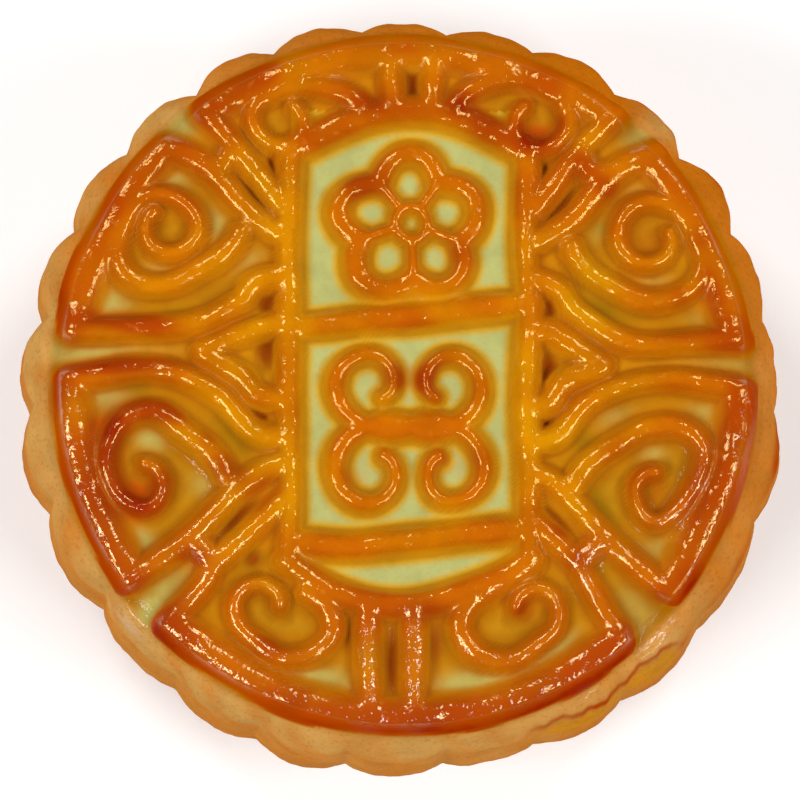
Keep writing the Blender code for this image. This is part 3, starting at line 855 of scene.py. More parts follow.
@dataclass
class Mooncake:
    """The whole cake: a disc under the pattern, carried on by rings down the scalloped side to the base.

    Lumps are a height, a half-size and a seed, and a wave is a size, a rate and a shift. A pair of radii,
    levels, depths below the top, gaps from the ridges, hollows, widths or shares of a ridge's height is where
    a form or a finish begins and where it is full. A band is its share, what the front adds to it where it
    adds anything, and its radii.
    """

    across: int = 256
    wander: float = 0.16
    wander_size: float = 2.6
    wander_seeds: tuple[int, int] = (11, 12)
    narrow_rise: float = 0.52
    pit_hold: float = 0.8
    pit_depth: float = 0.2
    floor_swell: float = 0.25
    swell_lumps: Lumps = (0.06, 3.5, 15)
    rim_lumps: Lumps = (0.25, 3.0, 16)
    blush_lumps: Lumps = (0.14, 1.5, 18)
    gilt_lumps: Lumps = (0.22, 1.6, 19)
    skin_lumps: Lumps = (0.2, 0.55, 20)
    pit_fill: float = 1.4
    pit_gaps: Pair = (-0.3, 0.1)
    swell_gaps: Pair = (0.2, 3.0)
    crease_gaps: Pair = (0.4, -0.1)
    open_gaps: Pair = (-0.5, 0.8)
    clear_gaps: Pair = (0.2, 1.6)
    panel_gaps: Pair = (-0.5, 1.5)
    crease_blur: float = 0.4
    crease_hollows: Pair = (0.04, 0.2)
    torn_levels: Pair = (16.0, 23.0)
    torn_widths: Pair = (0.3, 0.8)
    torn_depths: Pair = (13.0, 8.0)
    wall_depths: Pair = (5.0, 9.0)
    foot_depths: Pair = (22.0, 29.0)
    bare_ridge: Pair = (0.35, 0.1)
    shady_ridge: Pair = (0.7, 0.25)
    gilt_ridge: Pair = (0.95, 0.45)
    browned_ridge: Pair = (0.05, 0.5)
    spotted_ridge: Pair = (0.1, 0.6)
    blushed_ridge: Pair = (0.3, 0.8)
    glazed_ridge: Pair = (0.25, 0.9)
    washed_ridge: Pair = (0.6, 0.9)
    washed_front: Pair = (0.4, 0.9)
    browned_bands: tuple[tuple[float, float, Pair], ...] = (
        (0.07, 0.41, (27.4, 30.4)), (0.05, 0.3, (30.9, 31.8)),
    )
    scorched_side: Pair = (33.4, 34.9)
    scorched_bulge: Pair = (33.9, 35.2)
    washed_bands: tuple[tuple[float, Pair], ...] = ((0.45, (17.0, 25.0)), (0.15, (29.4, 30.4)))
    wet_shoulder: Pair = (33.3, 32.7)
    golden_sides: Pair = (7.5, 9.5)
    golden_middle: Pair = (30.0, 15.0)
    gilt_shares: Pair = (0.45, 0.9)
    scorch_shares: Pair = (0.7, 0.75)
    crease_shade_shares: Pair = (0.6, 0.45)
    wall_bareness: float = 0.55
    shoulder_browning: float = 0.8
    side_browning: Triple = (0.1, 0.2, 0.4)
    top_radius: float = 31.9
    glazed_radius: float = 31.0
    lobes: tuple[Triple, ...] = (
        (-2.5, 34.6, 34.9), (11.0, 34.3, 35.0), (25.5, 34.1, 35.6), (40.0, 33.9, 35.5),
        (54.5, 34.4, 35.5), (69.0, 34.2, 34.8), (83.0, 33.7, 34.7), (96.5, 34.0, 35.1),
        (111.0, 33.8, 35.2), (125.0, 33.7, 35.1), (139.5, 33.9, 35.1), (154.0, 33.8, 35.2),
        (168.5, 33.6, 35.3), (182.5, 34.2, 35.4), (198.0, 34.0, 34.9), (215.0, 33.4, 34.3),
        (232.0, 33.7, 34.6), (247.0, 33.8, 34.9), (261.5, 33.8, 34.6), (277.0, 33.6, 34.2),
        (291.5, 33.9, 35.0), (306.5, 34.3, 35.3), (322.5, 34.6, 35.3), (341.0, 34.7, 35.7),
    )
    lobe_sharpness: float = 1.3
    widest_at: float = 13.0
    side_lean: float = 0.7
    base_inset: float = 2.6
    base_round: float = 3.2
    shoulder_round: float = 8.5
    side_points: tuple[int, int, int] = (21, 8, 5)
    shoulder_turn: float = 84.0
    lobe_growth: float = 0.8
    lobe_fade: float = 0.22
    foot_lobes: Pair = (0.35, 0.43)
    torn_from: float = 288.0
    torn_to: float = 318.0
    torn_ends: Pair = (5.0, 3.0)
    lip_radius: float = 33.1
    lip_rise: float = 0.3
    lip_half: float = 0.4
    lip_drop: float = 0.8
    drop_widths: Pair = (0.1, 1.0)
    # The painted shade under the torn lip lies this far beyond it, this wide.
    fold_out: float = 0.35
    fold_half: float = 0.22
    ragged_waves: tuple[Triple, ...] = ((0.3, 0.37, 0), (0.12, 1.3, 1), (0.04, 3.1, 2))
    pucker_depth: float = 0.035
    pucker_levels: Pair = (0.0, 3.0)
    pucker_waves: tuple[tuple[float, ...], ...] = ((41, 0.9, 0.8, 1), (67, -1.3, 1.1, 0), (97, 0, 1, 0))
    palest_side: float = math.radians(235)
    brownest_side: float = math.radians(320)
    brownest_rim: float = math.radians(252)
    pattern: RidgePattern = field(default_factory=RidgePattern)
    relief: ReliefMap = field(default_factory=ReliefMap)
    spots: Patches = patches(
        (-3.4, 25.4, 1.5, 0.55, 1.4), (5.0, 25.3, 1.2, 0.9), (7.4, 23.2, 1.4, 0.65, 1.6, -40),
        (11.6, 22.2, 1.6, 0.9, 1.3), (0.5, 24.6, 1.1, 0.35, 4.0), (0.0, 30.4, 1.2, 0.22, 4.0),
        (-15.2, 26.3, 1.3, 0.26, 3.0, 30), (-26.3, 15.2, 1.3, 0.36, 2.6, 60),
        (16.0, 19.8, 1.4, 0.5, 1.2, -40), (18.6, 17.4, 1.1, 0.5, 1.6, -35), (-9.5, 22.5, 1.3, 0.3, 1.2),
        (-26.4, -6.4, 1.8, 0.85, 2.2, 80), (-24.0, -10.6, 1.9, 1.15, 1.2),
        (-31.7, -1.6, 0.9, 0.45, 2.4, 85), (-22.4, 4.7, 1.2, 0.4, 2.8), (-31.1, 7.4, 0.9, 0.4, 1.8, -75),
        (24.4, 4.0, 1.2, 0.3, 2.2), (24.8, 7.8, 1.1, 0.3), (-17.6, -5.2, 1.1, 0.3),
        (12.0, -29.6, 1.2, 0.25, 3.0, 22), (26.2, -18.0, 1.3, 0.5), (-26.5, -3.8, 1.2, 0.7),
        (11.8, 22.2, 1.2, 0.5), (14.0, 23.6, 1.0, 0.4), (-11.8, -23.6, 1.2, 0.35, 1.8, 30),
        (14.2, -13.5, 1.2, 0.35), (26.5, 12.8, 1.2, 0.25), (-10.5, -27.2, 1.3, -0.35, 2.0, -22),
        (-16.4, -24.4, 1.3, -0.3, 2.6, -35), (-22.6, -2.7, 1.2, 0.7, 2.6, -12),
        (-20.8, -8.6, 1.4, 0.4, 1.6, 70), (-15.6, -8.0, 1.5, 0.55, 1.5, -35),
        (-12.6, -10.3, 1.5, 0.35, 1.4, 60), (-26.2, 5.5, 1.1, 0.6, 3.4, 3), (-25.5, 1.3, 0.8, 0.9, 6.0, 2),
        (-18.8, -16.0, 1.0, 0.5, 1.4), (26.3, -9.5, 1.5, 0.45, 2.6, 80), (28.8, -6.5, 1.2, 0.35, 4.0, 80),
        (27.5, 8.5, 1.2, 0.4, 2.4, -70), (22.2, 13.2, 1.6, 0.5), (22.6, -10.4, 1.5, 0.6),
        (2.0, -20.8, 1.2, 0.5, 2.4), (15.5, -16.0, 1.3, 0.45, 1.2), (11.0, -20.8, 1.2, 0.7),
        (0.5, 0.4, 1.5, 0.6, 2.2), (-3.6, 17.6, 1.5, 0.4, 1.3, 40), (4.8, 11.4, 1.5, 0.35, 1.3),
        (-4.5, -8.6, 1.4, 0.35, 1.3), (5.3, -7.4, 1.5, 0.3, 1.4),
    )
    gilt: Patches = patches(
        (-15.2, 9.4, 2.6, 0.55, 1.4, 30), (-18.4, 12.6, 2.2, 0.4), (-12.8, 17.8, 1.6, 0.5, 1.5, -45),
        (15.8, 6.6, 2.4, 0.55, 1.3, 20), (13.0, 1.0, 2.0, 0.55), (17.6, 10.8, 2.0, 0.5),
        (-14.2, 1.2, 2.0, 0.45), (-7.8, -9.0, 2.0, 0.5, 1.8, 90), (9.2, 1.8, 1.4, 0.6, 1.6, 90),
        (-3.0, -25.2, 1.2, 0.4, 1.6, 90), (-12.6, 1.0, 1.6, 0.5), (-13.4, 5.6, 1.5, 0.4),
        (-13.2, 21.5, 1.4, 0.4), (-12.6, -1.8, 1.3, 0.4), (-16.6, 15.2, 1.4, 0.4),
    )
    # Painted shade in the narrow channels by the frame and the forks.
    shady: Patches = patches(
        (18.0, 6.3, 1.3, 0.8, 1.9, -25), (21.4, 6.8, 1.2, 0.5), (16.2, -5.4, 1.2, 0.7, 1.8, -40),
        (17.9, 14.0, 1.1, 0.5), (-15.2, -4.6, 1.1, 0.8, 2.6, -50), (-20.5, 5.8, 1.3, 0.6, 1.8, 10),
        (17.9, -16.8, 1.0, 0.5), (15.8, 10.2, 0.9, 0.6, 1.6, -60), (-23.6, -0.9, 0.9, 0.5, 2.4, -8),
        (17.8, -11.2, 1.0, 0.7, 2.2, -60), (-21.4, 9.2, 0.9, 0.5, 1.8, 20),
    )
    # Where the pits are pressed deeper, and where painted shade is laid into them.
    slots: Patches = patches(
        (0.7, 27.1, 0.6, 1.2, 3.6, 90), (-0.9, -25.2, 0.7, 0.8, 5.0, 90), (-4.8, -22.8, 0.7, 0.5, 2.4, 90),
        (2.9, -23.5, 0.7, 0.6, 3.0, 90), (-13.0, 16.2, 0.6, 1.3, 4.2, -47), (14.1, 15.7, 0.6, 0.9, 4.0, 49),
        (-14.9, -12.4, 0.6, 0.7, 4.0, 47), (13.6, -12.7, 0.6, 0.8, 4.0, -48), (-12.3, 7.3, 0.8, 1.1),
        (-12.3, 2.8, 0.7, 1.1, 1.7, 90), (-13.0, -3.0, 0.8, 1.1), (12.8, 6.7, 0.8, 1.1),
        (13.0, 1.2, 0.8, 1.1, 1.6, 90), (12.8, -3.9, 0.8, 1.1), (-13.4, -16.0, 0.6, 0.8),
        (-11.5, 19.5, 0.5, 1.1, 2.0, -60), (12.5, 19.3, 0.6, 1.1),
    )
    wet: Patches = patches(
        (-24.6, -22.0, 1.6, 0.7, 1.4, 60), (23.0, -23.0, 1.1, 0.8, 1.6, 45),
        (16.5, -28.6, 0.8, 0.5, 1.5, 30), (-3.0, -25.2, 1.1, 0.9, 3.4, 90), (0.9, -25.2, 1.1, 0.9, 3.4, 90),
        (26.2, -8.4, 1.1, 0.9, 2.8, 78), (23.6, -12.6, 1.3, 0.9, 1.6, 30), (30.2, -5.6, 1.0, 0.5, 4.0, 82),
        (16.6, -16.4, 1.2, 0.7, 1.6, 60), (-17.5, -8.2, 1.1, 0.6, 2.6, -45),
        (-17.6, -15.6, 1.1, 0.6, 2.0, 80),
    )
    pale: Patches = patches(
        (-26.5, 7.0, 1.6, 0.65, 1.6, 20), (-21.5, 18.2, 1.5, 0.8, 1.6, 10),
        (-17.0, 14.2, 1.4, 0.7, 1.3, -45), (-22.0, 10.2, 1.2, 0.6, 1.3), (-14.0, 10.9, 1.3, 0.4, 1.6, 30),
        (-27.0, -1.3, 1.5, 0.8, 1.8, -10), (-22.5, -5.2, 1.3, 0.7, 1.3), (-17.5, -9.3, 1.4, 0.5, 1.3),
        (-23.3, -15.0, 1.4, 1.1, 1.3, -40), (21.5, 17.2, 1.4, 0.5, 1.5), (17.8, 13.8, 1.4, 0.3, 1.3, 45),
        (22.5, 9.3, 1.3, 0.5, 1.5), (27.5, 5.3, 1.4, 0.45, 1.5, -20), (19.0, -3.0, 1.4, 0.4, 1.5, 20),
        (27.0, -2.8, 1.4, 0.45, 1.5, 10), (22.3, -6.4, 1.2, 0.5, 1.3), (22.5, -15.3, 1.4, 0.5, 1.4, 40),
        (-20.5, -18.5, 2.0, 0.7, 1.3, 45), (20.5, -20.5, 2.0, 0.5, 1.3, -45), (-28.0, 2.9, 1.6, 0.7, 4.0),
        (28.5, 1.5, 1.6, 0.4, 3.2), (-7.4, -27.1, 1.5, 1.0, 2.8, -12), (6.4, -27.2, 1.5, 1.0, 2.8, 12),
        (-11.8, -25.6, 1.2, 1.0, 3.0, -28), (11.2, -26.0, 1.2, 1.0, 3.0, 28),
        (13.6, -24.3, 1.3, 0.8, 2.0, 35), (-20.2, 23.8, 1.7, 0.8, 1.3, -50),
        (21.5, 22.3, 1.6, 0.7, 1.3, 50), (-22.4, -21.4, 1.6, 0.8, 1.3, 45),
        (24.2, 24.0, 1.6, 0.8, 1.6, -45), (-24.2, 24.0, 1.6, 0.5, 1.6, 45),
        (23.8, -24.2, 1.4, 0.6, 1.6, 45),
    )

    def fill_relief(self) -> None:
        """Raise every ridge on the raster, each a little uneven."""
        noises = (self.relief.noise(self.wander_size, seed) for seed in self.wander_seeds)
        bend = tuple(self.wander * noise for noise in noises)
        pattern = self.pattern
        for ridge in pattern.sectors() + pattern.panel_frame() + pattern.blossom() + pattern.knot():
            self.relief.add(ridge, bend)
        pits = self.pits()
        self.relief.settle(self.narrow_rise * (1 - self.pit_hold * pits))
        self.relief.height -= self.pit_depth * pits

    def pits(self) -> np.ndarray:
        """Return the share of a pit at each place of the raster: under the slots' patches, and clear of the
        ridges.
        """
        near = Places(self.relief, self.relief.x, self.relief.y).under(self.slots)
        return np.clip(self.pit_fill * near, 0, 1) * smooth(*self.pit_gaps, self.relief.gap)

    def top_grid(self) -> tuple[np.ndarray, np.ndarray]:
        """Spread a square grid over a disc, keeping equal areas equal.

        With a the greater and b the lesser of the two square coordinates, the radius is a and the angle is
        (pi / 4) (b / a) from a's axis.

        Returns:
            The grid's x and y, in millimetres.
        """
        line = np.linspace(-1, 1, self.across + 1)
        u, v = np.meshgrid(line, line, indexing="ij")
        steep = np.abs(v) > np.abs(u)
        a = np.where(steep, v, u)
        b = np.where(steep, u, v)
        angle = math.pi / 4 * b / np.where(a == 0, 1, a)
        near, off = a * np.cos(angle), a * np.sin(angle)
        return self.top_radius * np.where(steep, off, near), self.top_radius * np.where(steep, near, off)

    def numbers(self) -> np.ndarray:
        """Return the number of each of the grid's points, a row for each step in x."""
        side = self.across + 1
        return np.arange(side**2).reshape(side, side)

    def border(self) -> np.ndarray:
        """Return the numbers of the grid's outer points, counter-clockwise from its lowest corner."""
        number = self.numbers()
        return np.concatenate([number[:-1, 0], number[-1, :-1], number[:0:-1, -1], number[0, :0:-1]])

    def side_profile(self) -> np.ndarray:
        """Trace the side from the shelf down to the base's edge.

        The shoulder is a quarter ellipse, the side a parabola about the widest level, and the foot a circle's
        arc. The lobes are full at the shoulder's foot and fade to about a third at the base.

        Returns:
            A row of radius, height and share of the lobes for each ring.
        """
        widest = ACROSS / 2
        shelf = FLOOR - SHELF_DROP
        on_shoulder, on_wall, on_foot = self.side_points
        a = np.radians(np.linspace(self.shoulder_turn, 0, on_shoulder))
        reach = widest - self.side_lean - self.top_radius
        rise = shelf - (HEIGHT - self.shoulder_round)
        lobed = np.cos(a) ** self.lobe_growth
        shoulder = [self.top_radius + reach * np.cos(a), shelf - rise * (1 - np.sin(a)), lobed]
        z = np.linspace(HEIGHT - self.shoulder_round, self.base_round, on_wall)[1:]
        above = (z - self.widest_at) / (HEIGHT - self.shoulder_round - self.widest_at)
        below = (self.widest_at - z) / (self.widest_at - self.base_round)
        inset = np.where(z > self.widest_at, self.side_lean * above**2, self.base_inset * below**2)
        wall = [widest - inset, z, 1 - self.lobe_fade * np.clip(below, 0, 1) ** 2]
        b = np.radians(np.linspace(90, 0, on_foot)[1:])
        radius = widest - self.base_inset - self.base_round * (1 - np.sin(b))
        least, more = self.foot_lobes
        foot = [radius, self.base_round * (1 - np.cos(b)), least + more * np.sin(b)]
        return np.concatenate([np.array(shoulder), np.array(wall), np.array(foot)], axis=1).T

    def scallops(self, angle: np.ndarray) -> np.ndarray:
        """Trace the lobes at the widest level.

        Across each lobe a share s runs from 0 to 1, valley to valley. The outline lies at the crest's radius
        less the lobe's depth times (1 - sin(pi s)) ^ sharpness. Crests and valleys ease into the next ones.

        Args:
            angle: The directions, in radians.

        Returns:
            How far each direction reaches beyond half the cake's width.
        """
        count = len(self.lobes)
        start, valley, crest = np.array(self.lobes).T
        turned = (np.degrees(angle) - start[0]) % 360
        along = np.interp(turned, np.append(start, start[0] + 360) - start[0], np.arange(count + 1))
        low = np.interp(along, np.arange(count + 1), np.append(valley, valley[0]))
        middles = np.arange(-1, count + 1) + 0.5
        high = np.interp(along, middles, np.concatenate([crest[-1:], crest, crest[:1]]))
        return high - (high - low) * (1 - np.sin(math.pi * (along % 1))) ** self.lobe_sharpness - ACROSS / 2

    def tear(self, angle: np.ndarray, out: np.ndarray) -> tuple[np.ndarray, np.ndarray]:
        """Follow the place on the shoulder where the skin has torn.

        Args:
            angle: Directions, in radians.
            out: Radii, in millimetres.

        Returns:
            How torn the skin is, as a share, and the distance out from its ragged lip.
        """
        turned = np.degrees(angle) % 360
        first, last = self.torn_ends
        torn = smooth(self.torn_from, self.torn_from + first, turned)
        torn = torn * smooth(self.torn_to, self.torn_to - last, turned)
        ragged = sum(size * np.sin(rate * turned + shift) for size, rate, shift in self.ragged_waves)
        return torn, out + ragged - self.lip_radius

    def torn_edge(self, angle: np.ndarray, out: np.ndarray) -> np.ndarray:
        """Raise a thin lip where the shoulder is torn, then step down.

        Args:
            angle: Directions, in radians.
            out: Radii, in millimetres.

        Returns:
            How far each place rises, in millimetres.
        """
        torn, beyond = self.tear(angle, out)
        lip = self.lip_rise * np.exp(-((beyond / self.lip_half) ** 2))
        return torn * (lip - self.lip_drop * smooth(*self.drop_widths, beyond))

    def puckers(self, angle: np.ndarray, level: np.ndarray) -> np.ndarray:
        """Wrinkle the side slightly by products of sines.

        Each is sin(around * angle + lean * level) * sin(rate * level + shift), and they are added up.

        Args:
            angle: The directions, in radians.
            level: The heights, a row for each ring.

        Returns:
            How far each point moves out, in millimetres.
        """
        waves = sum(
            np.sin(around * angle + lean * level) * np.sin(rate * level + shift)
            for around, lean, rate, shift in self.pucker_waves
        )
        kept = smooth(FLOOR - 0.6, FLOOR - 1.6, level)
        return self.pucker_depth * waves * kept * smooth(*self.pucker_levels, level)

    def build(self) -> bpy.types.Object:
        """Build the closed mesh and its attributes.

        Returns:
            The cake.
        """
        self.fill_relief()
        x, y = (grid.ravel() for grid in self.top_grid())
        disc = Places(self.relief, x, y)
        out = np.hypot(x, y)
        ground = FLOOR - SHELF_DROP * smooth(PATTERN_RADIUS - RIM_IN, PATTERN_RADIUS, out)
        ground = ground + disc.lumps(*self.swell_lumps)
        open_floor = smooth(*self.swell_gaps, disc.read(self.relief.gap)) * (out < RIM_RADIUS)
        raised = self.floor_swell * open_floor + disc.read(self.relief.height)
        top = np.stack([x, y, ground + raised], axis=1)

        border = self.border()
        start = top[border]
        angle = np.arctan2(start[:, 1], start[:, 0])
        profile = self.side_profile()
        reach = profile[:, :1] + self.scallops(angle) * profile[:, 2:]
        level = profile[:, 1:2] + self.torn_edge(angle, reach) * smooth(*self.torn_levels, profile[:, 1:2])
        reach = reach + self.puckers(angle, level)
        across, along = reach * np.cos(angle), reach * np.sin(angle)
        middle = (across.min() + across.max()) / 2, (along.min() + along.max()) / 2
        rings = np.stack([across - middle[0], along - middle[1], level], axis=2)
        vertices = np.concatenate([top, rings.reshape(-1, 3), [[0, 0, 0]]])
        parts = self.faces(border, len(profile), len(top))

        cake = new_piece("mooncake_crust", vertices * MM, [face for part in parts for face in part.tolist()])
        mesh = cake.data
        mesh.polygons.foreach_set("material_index", np.repeat([0, 1, 2], [len(part) for part in parts]))
        mesh.shade_smooth()
        self.paint(mesh, vertices, len(top))
        return cake

    def faces(self, border: np.ndarray, rings: int, first: int) -> tuple[np.ndarray, np.ndarray, np.ndarray]:
        """List the faces: the glazed top, the unglazed rest of the top and the side, and the base.

        The grid's cells lie in square rings that become round ones, and the outermost ones are unglazed. The
        side is quads between rings, and the base triangles to its middle.

        Args:
            border: The numbers of the grid's outer points.
            rings: How many rings the side has.
            first: The number of the first ring's first point.

        Returns:
            The glazed quads, the other quads, and the base's triangles.
        """
        n, number = self.across, self.numbers()
        grid = np.stack([number[:-1, :-1], number[1:, :-1], number[1:, 1:], number[:-1, 1:]], axis=2)
        grid = grid.reshape(-1, 4)
        off = np.abs(np.arange(n) + 0.5 - n / 2)
        reach = n / 2 * self.glazed_radius / self.top_radius
        glazed = (np.maximum(off[:, None], off[None, :]) < reach).ravel()
        around = len(border)
        levels = np.concatenate([border[None], first + np.arange(rings * around).reshape(rings, around)])
        upper, lower = levels[:-1], levels[1:]
        wall = np.stack([np.roll(upper, -1, 1), upper, lower, np.roll(lower, -1, 1)], axis=2).reshape(-1, 4)
        last = levels[-1]
        middle = np.full(around, first + rings * around)
        bare = np.concatenate([grid[~glazed], wall])
        return grid[glazed], bare, np.stack([np.roll(last, -1), last, middle], axis=1)

    def paint(self, mesh: bpy.types.Mesh, vertices: np.ndarray, top: int) -> None:
        """Store where the crust is raised, open, browned, glazed and bare, and where shade is painted, one
        number a point.

        Args:
            mesh: The cake's mesh.
            vertices: Its points, in millimetres.
            top: How many of them are the top's.
        """
        relief = self.relief
        x, y, z = vertices.T
        skin = Places(relief, x, y)
        out, down, on_top = np.hypot(x, y), HEIGHT - z, np.arange(len(x)) < top
        ridge = skin.read(relief.ridges) / RELIEF * on_top
        off_ridge = smooth(*self.bare_ridge, ridge)
        gap = skin.read(relief.gap)
        inside, panel = out < RIM_RADIUS, self.pattern.panels(x, y)
        wall = smooth(*self.wall_depths, down)
        shifted = Places(relief, 0.6 * x - 0.3 * down, 0.6 * y + 0.3 * down)
        mottles = 1 + shifted.lumps(*self.skin_lumps)
        torn, beyond = self.tear(np.arctan2(y, x), out)
        torn = torn * (1 - on_top)
        lowered = torn * smooth(*self.torn_widths, beyond) * smooth(*self.torn_depths, down)

        # Painted shade: hollows below the blurred relief and the pits beside the slots are darkened where
        # shade falls between the ridges.
        hollow = skin.read(relief.blurred(relief.height, self.crease_blur) - relief.height)
        between, fold = self.crease_shade_shares
        crease_shade = between * smooth(*self.crease_hollows, hollow) * smooth(*self.crease_gaps, gap)
        slots = np.maximum(skin.read(self.pits()), crease_shade * (1 - 0.5 * panel) * inside) * on_top
        bare = smooth(PATTERN_RADIUS - 0.6, PATTERN_RADIUS + 0.2, out) * off_ridge
        bare = bare * skin.facing(self.palest_side) * (1 - wall) + self.wall_bareness * wall
        bare = bare * np.clip(mottles, 0, 1.4)
        pale = skin.under(self.pale)
        sectors, panels = self.gilt_shares
        gilt = sectors * smooth(*self.golden_sides, np.abs(x - 0.5)) * smooth(*self.golden_middle, out)
        gilt = gilt + panels * panel * smooth(*self.gilt_ridge, ridge)
        gilt = gilt + skin.lumps(*self.gilt_lumps) + skin.under(self.gilt)

        scorched = self.shoulder_browning * smooth(*self.scorched_side, out)
        scorched = scorched * skin.facing(self.brownest_side) * mottles
        least, bulge, foot = self.side_browning
        lower = least + bulge * smooth(*self.scorched_bulge, out) + foot * smooth(*self.foot_depths, down)
        scorched = np.clip(scorched, 0, 1) * (1 - wall) + wall * mottles * lower
        front = skin.facing(self.brownest_rim)
        rim = sum((least + more * front) * smooth(*radii, out) for least, more, radii in self.browned_bands)
        rim = rim * smooth(*self.browned_ridge, ridge) * (1 + skin.lumps(*self.rim_lumps))
        blush = np.clip(skin.lumps(*self.blush_lumps), 0, 2 * self.blush_lumps[0])
        blush = blush * smooth(*self.blushed_ridge, ridge)
        # Painted shade: a dark line just past the torn lip, where its step down lies in shadow.
        fold_shade = torn * (1 - wall) * np.exp(-(((beyond - self.fold_out) / self.fold_half) ** 2))
        spots = skin.under(self.spots) * (0.5 + 0.5 * smooth(*self.spotted_ridge, ridge)) * on_top
        share, less = self.scorch_shares
        # Browning of the rim, blushes, scorches and spots, plus the painted shade under the torn lip.
        browning_and_shade = rim + blush + share * scorched * (1 - less * lowered) + fold * fold_shade + spots

        washed = sum(share * smooth(*radii, out) for share, radii in self.washed_bands)
        washed = washed * smooth(*self.washed_front, front) * smooth(*self.washed_ridge, ridge)
        glazed = self.glazed_radius
        washed = washed * smooth(glazed, glazed - 0.2, out)
        wet = skin.under(self.wet) * smooth(*self.wet_shoulder, out) * (1 - wall)
        fields = {
            "relief": np.clip(skin.read(relief.height) / RELIEF, 0, 1) * on_top,
            "openness": smooth(*self.open_gaps, gap) * np.clip(pale, 0, 1) * on_top,
            # Painted shade: floors are lighter where they are clear of the ridges.
            "clear": smooth(*self.clear_gaps, gap) * inside * on_top,
            "panel": smooth(*self.panel_gaps, gap) * panel * on_top,
            "golden": np.where(on_top, np.clip(gilt, 0, 1) * (1 - 0.7 * np.clip(browning_and_shade, 0, 1)), lowered),
            # Painted shade in the pits and creases.
            "pit_shade": np.clip(slots, 0, 1),
            "shady": np.clip(skin.under(self.shady) * smooth(*self.shady_ridge, ridge) * on_top, 0, 1),
            "browning_and_shade": np.clip(browning_and_shade, 0, 1.2),
            "glaze": smooth(*self.glazed_ridge, ridge) * smooth(glazed, glazed - 0.3, out),
            "wash": np.clip(washed + wet, 0, 1),
            "bare": np.clip(bare + pale * (out > RIM_RADIUS) * (1 - wall), 0, 1) * (1 - 0.8 * lowered),
            "side": smooth(PATTERN_RADIUS - 0.4, PATTERN_RADIUS + 0.6, out) * off_ridge,
        }
        for name, values in fields.items():
            mesh.attributes.new(name, "FLOAT", "POINT").data.foreach_set("value", values.astype(np.float32))

    def dress(self, cake: bpy.types.Object) -> None:
        """Give the cake its three finishes, tie it to its body and let it stand for the plain solid.

        Args:
            cake: The cake.
        """
        crumb = crumb_group()
        unglazed = GlazedCrust("bare_crust", specular=0.0, coarseness=0.3)
        for finish in (GlazedCrust(), unglazed, BakedBase()):
            cake.data.materials.append(finish.material(crumb))
        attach(cake, "root")
        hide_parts("mooncake")


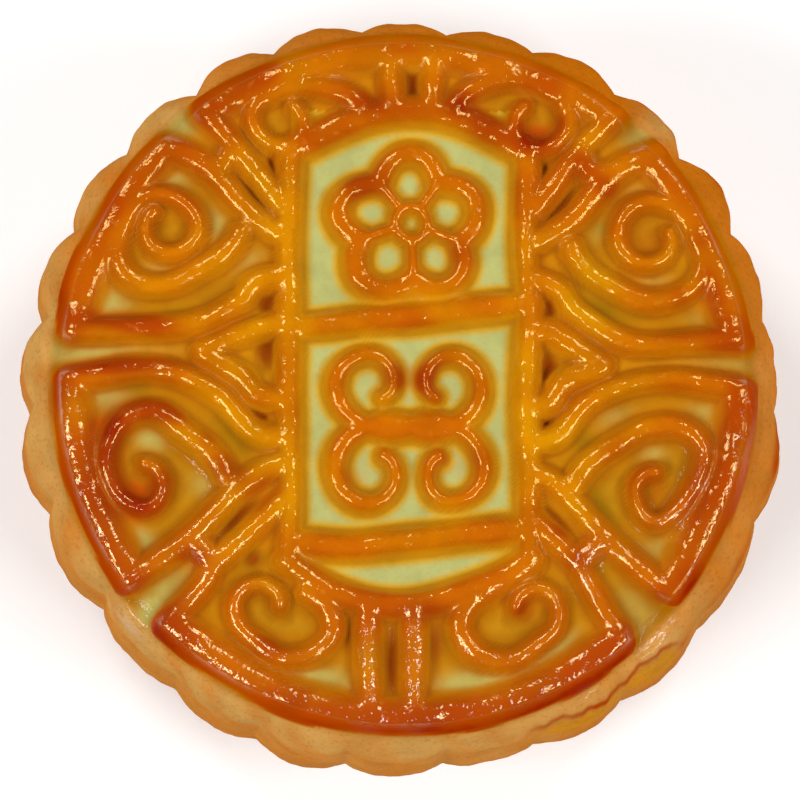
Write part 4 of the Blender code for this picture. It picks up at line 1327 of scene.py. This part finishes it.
@dataclass
class Studio:
    """The pale floor, the soft light and the camera."""

    floor_size: float = 4.0
    floor_drop: float = 0.0002
    floor_colour: Colour = (0.96, 0.96, 0.96)
    floor_roughness: float = 0.9
    sky_strength: float = 0.07
    lamps: tuple[tuple[str, Place, Pair, float], ...] = (
        ("front_left_lamp", (-0.58, -0.34, 0.7), (0.6, 0.24), 6.7),
        ("front_right_lamp", (0.6, -0.3, 0.7), (0.6, 0.22), 6.0),
        ("back_left_lamp", (-0.45, 0.55, 0.7), (0.28, 0.28), 3.1),
        ("back_right_lamp", (0.45, 0.55, 0.7), (0.28, 0.28), 2.9),
    )
    camera_lean: Pair = (1.4, 7.5)
    camera_aim: Place = (-0.31, -1.70, 29.0)
    camera_distance: float = 400.0
    scale: float = 11.151
    image_width: float = 800.0
    sensor: float = 36.0
    farthest: float = 20.0

    def floor(self) -> bpy.types.Object:
        """Lay the floor as a wide square under the base.

        Returns:
            The floor.
        """
        half = self.floor_size / 2
        corners = np.array([(-half, -half), (half, -half), (half, half), (-half, half)])
        floor = new_piece("pale_floor", np.insert(corners, 2, -self.floor_drop, axis=1), [[0, 1, 2, 3]])
        material, sheet, shader = new_finish("pale_floor")
        finish = {"Base Color": (*self.floor_colour, 1.0), "Roughness": self.floor_roughness}
        sheet.feed(shader, {**finish, "Specular IOR Level": 0.0})
        floor.data.materials.append(material)
        return floor

    def lamp(self, name: str, place: Place, size: Pair, power: float) -> None:
        """Hang an oblong area lamp that faces the cake.

        Args:
            name: The lamp's name.
            place: Where it hangs, in metres.
            size: Its width and height, in metres.
            power: Its power, in watts.
        """
        light = bpy.data.lights.new(name, "AREA")
        light.shape = "RECTANGLE"
        light.size, light.size_y = size
        light.energy = power
        lamp = placed(name, light)
        lamp.location = place
        aim = Vector((0, 0, HEIGHT * MM)) - lamp.location
        lamp.rotation_euler = aim.to_track_quat("-Z", "Y").to_euler()

    def light(self) -> None:
        """Set the even sky and four soft lamps: two long ones at the front's sides and two at the back."""
        world = bpy.data.worlds.new("soft_sky")
        world.use_nodes = True
        sky = {"Color": (1.0, 1.0, 1.0, 1.0), "Strength": self.sky_strength}
        NodeSheet(world.node_tree).feed(world.node_tree.nodes["Background"], sky)
        bpy.context.scene.world = world
        for row in self.lamps:
            self.lamp(*row)

    def camera(self) -> bpy.types.Object:
        """Stand the camera almost above the cake, leaning a little to the front and left.

        The lens is the sensor's width times the scale times the distance, over the image's width.

        Returns:
            The camera.
        """
        lean_x, lean_y = (math.tan(math.radians(angle)) for angle in self.camera_lean)
        back = Vector((-lean_x, -lean_y, 1.0)).normalized()
        up = Vector((0, 1, 0))
        up = (up - back * up.dot(back)).normalized()
        right = up.cross(back)
        data = bpy.data.cameras.new("camera")
        data.sensor_width = self.sensor
        data.lens = self.sensor * self.scale * self.camera_distance / self.image_width
        data.clip_end = self.farthest
        camera = placed("camera", data)
        place = (Vector(self.camera_aim) + back * self.camera_distance) * MM
        camera.matrix_world = Matrix.Translation(place) @ Matrix((right, up, back)).transposed().to_4x4()
        bpy.context.scene.camera = camera
        return camera


def report(name: str, obj: bpy.types.Object) -> None:
    """Log a finished piece's name and how many faces it has."""
    LOG.info("%s: %d faces", name, len(obj.data.polygons))


def main() -> None:
    """Build the cake and the studio."""
    logging.basicConfig(level=logging.INFO, format="%(name)s: %(message)s")
    studio = Studio()
    studio.camera()
    mooncake = Mooncake()
    cake = mooncake.build()
    mooncake.dress(cake)
    report("mooncake_crust", cake)
    report("pale_floor", studio.floor())
    studio.light()
    bpy.context.scene.view_settings.view_transform = "Standard"


if __name__ == "__main__":
    main()
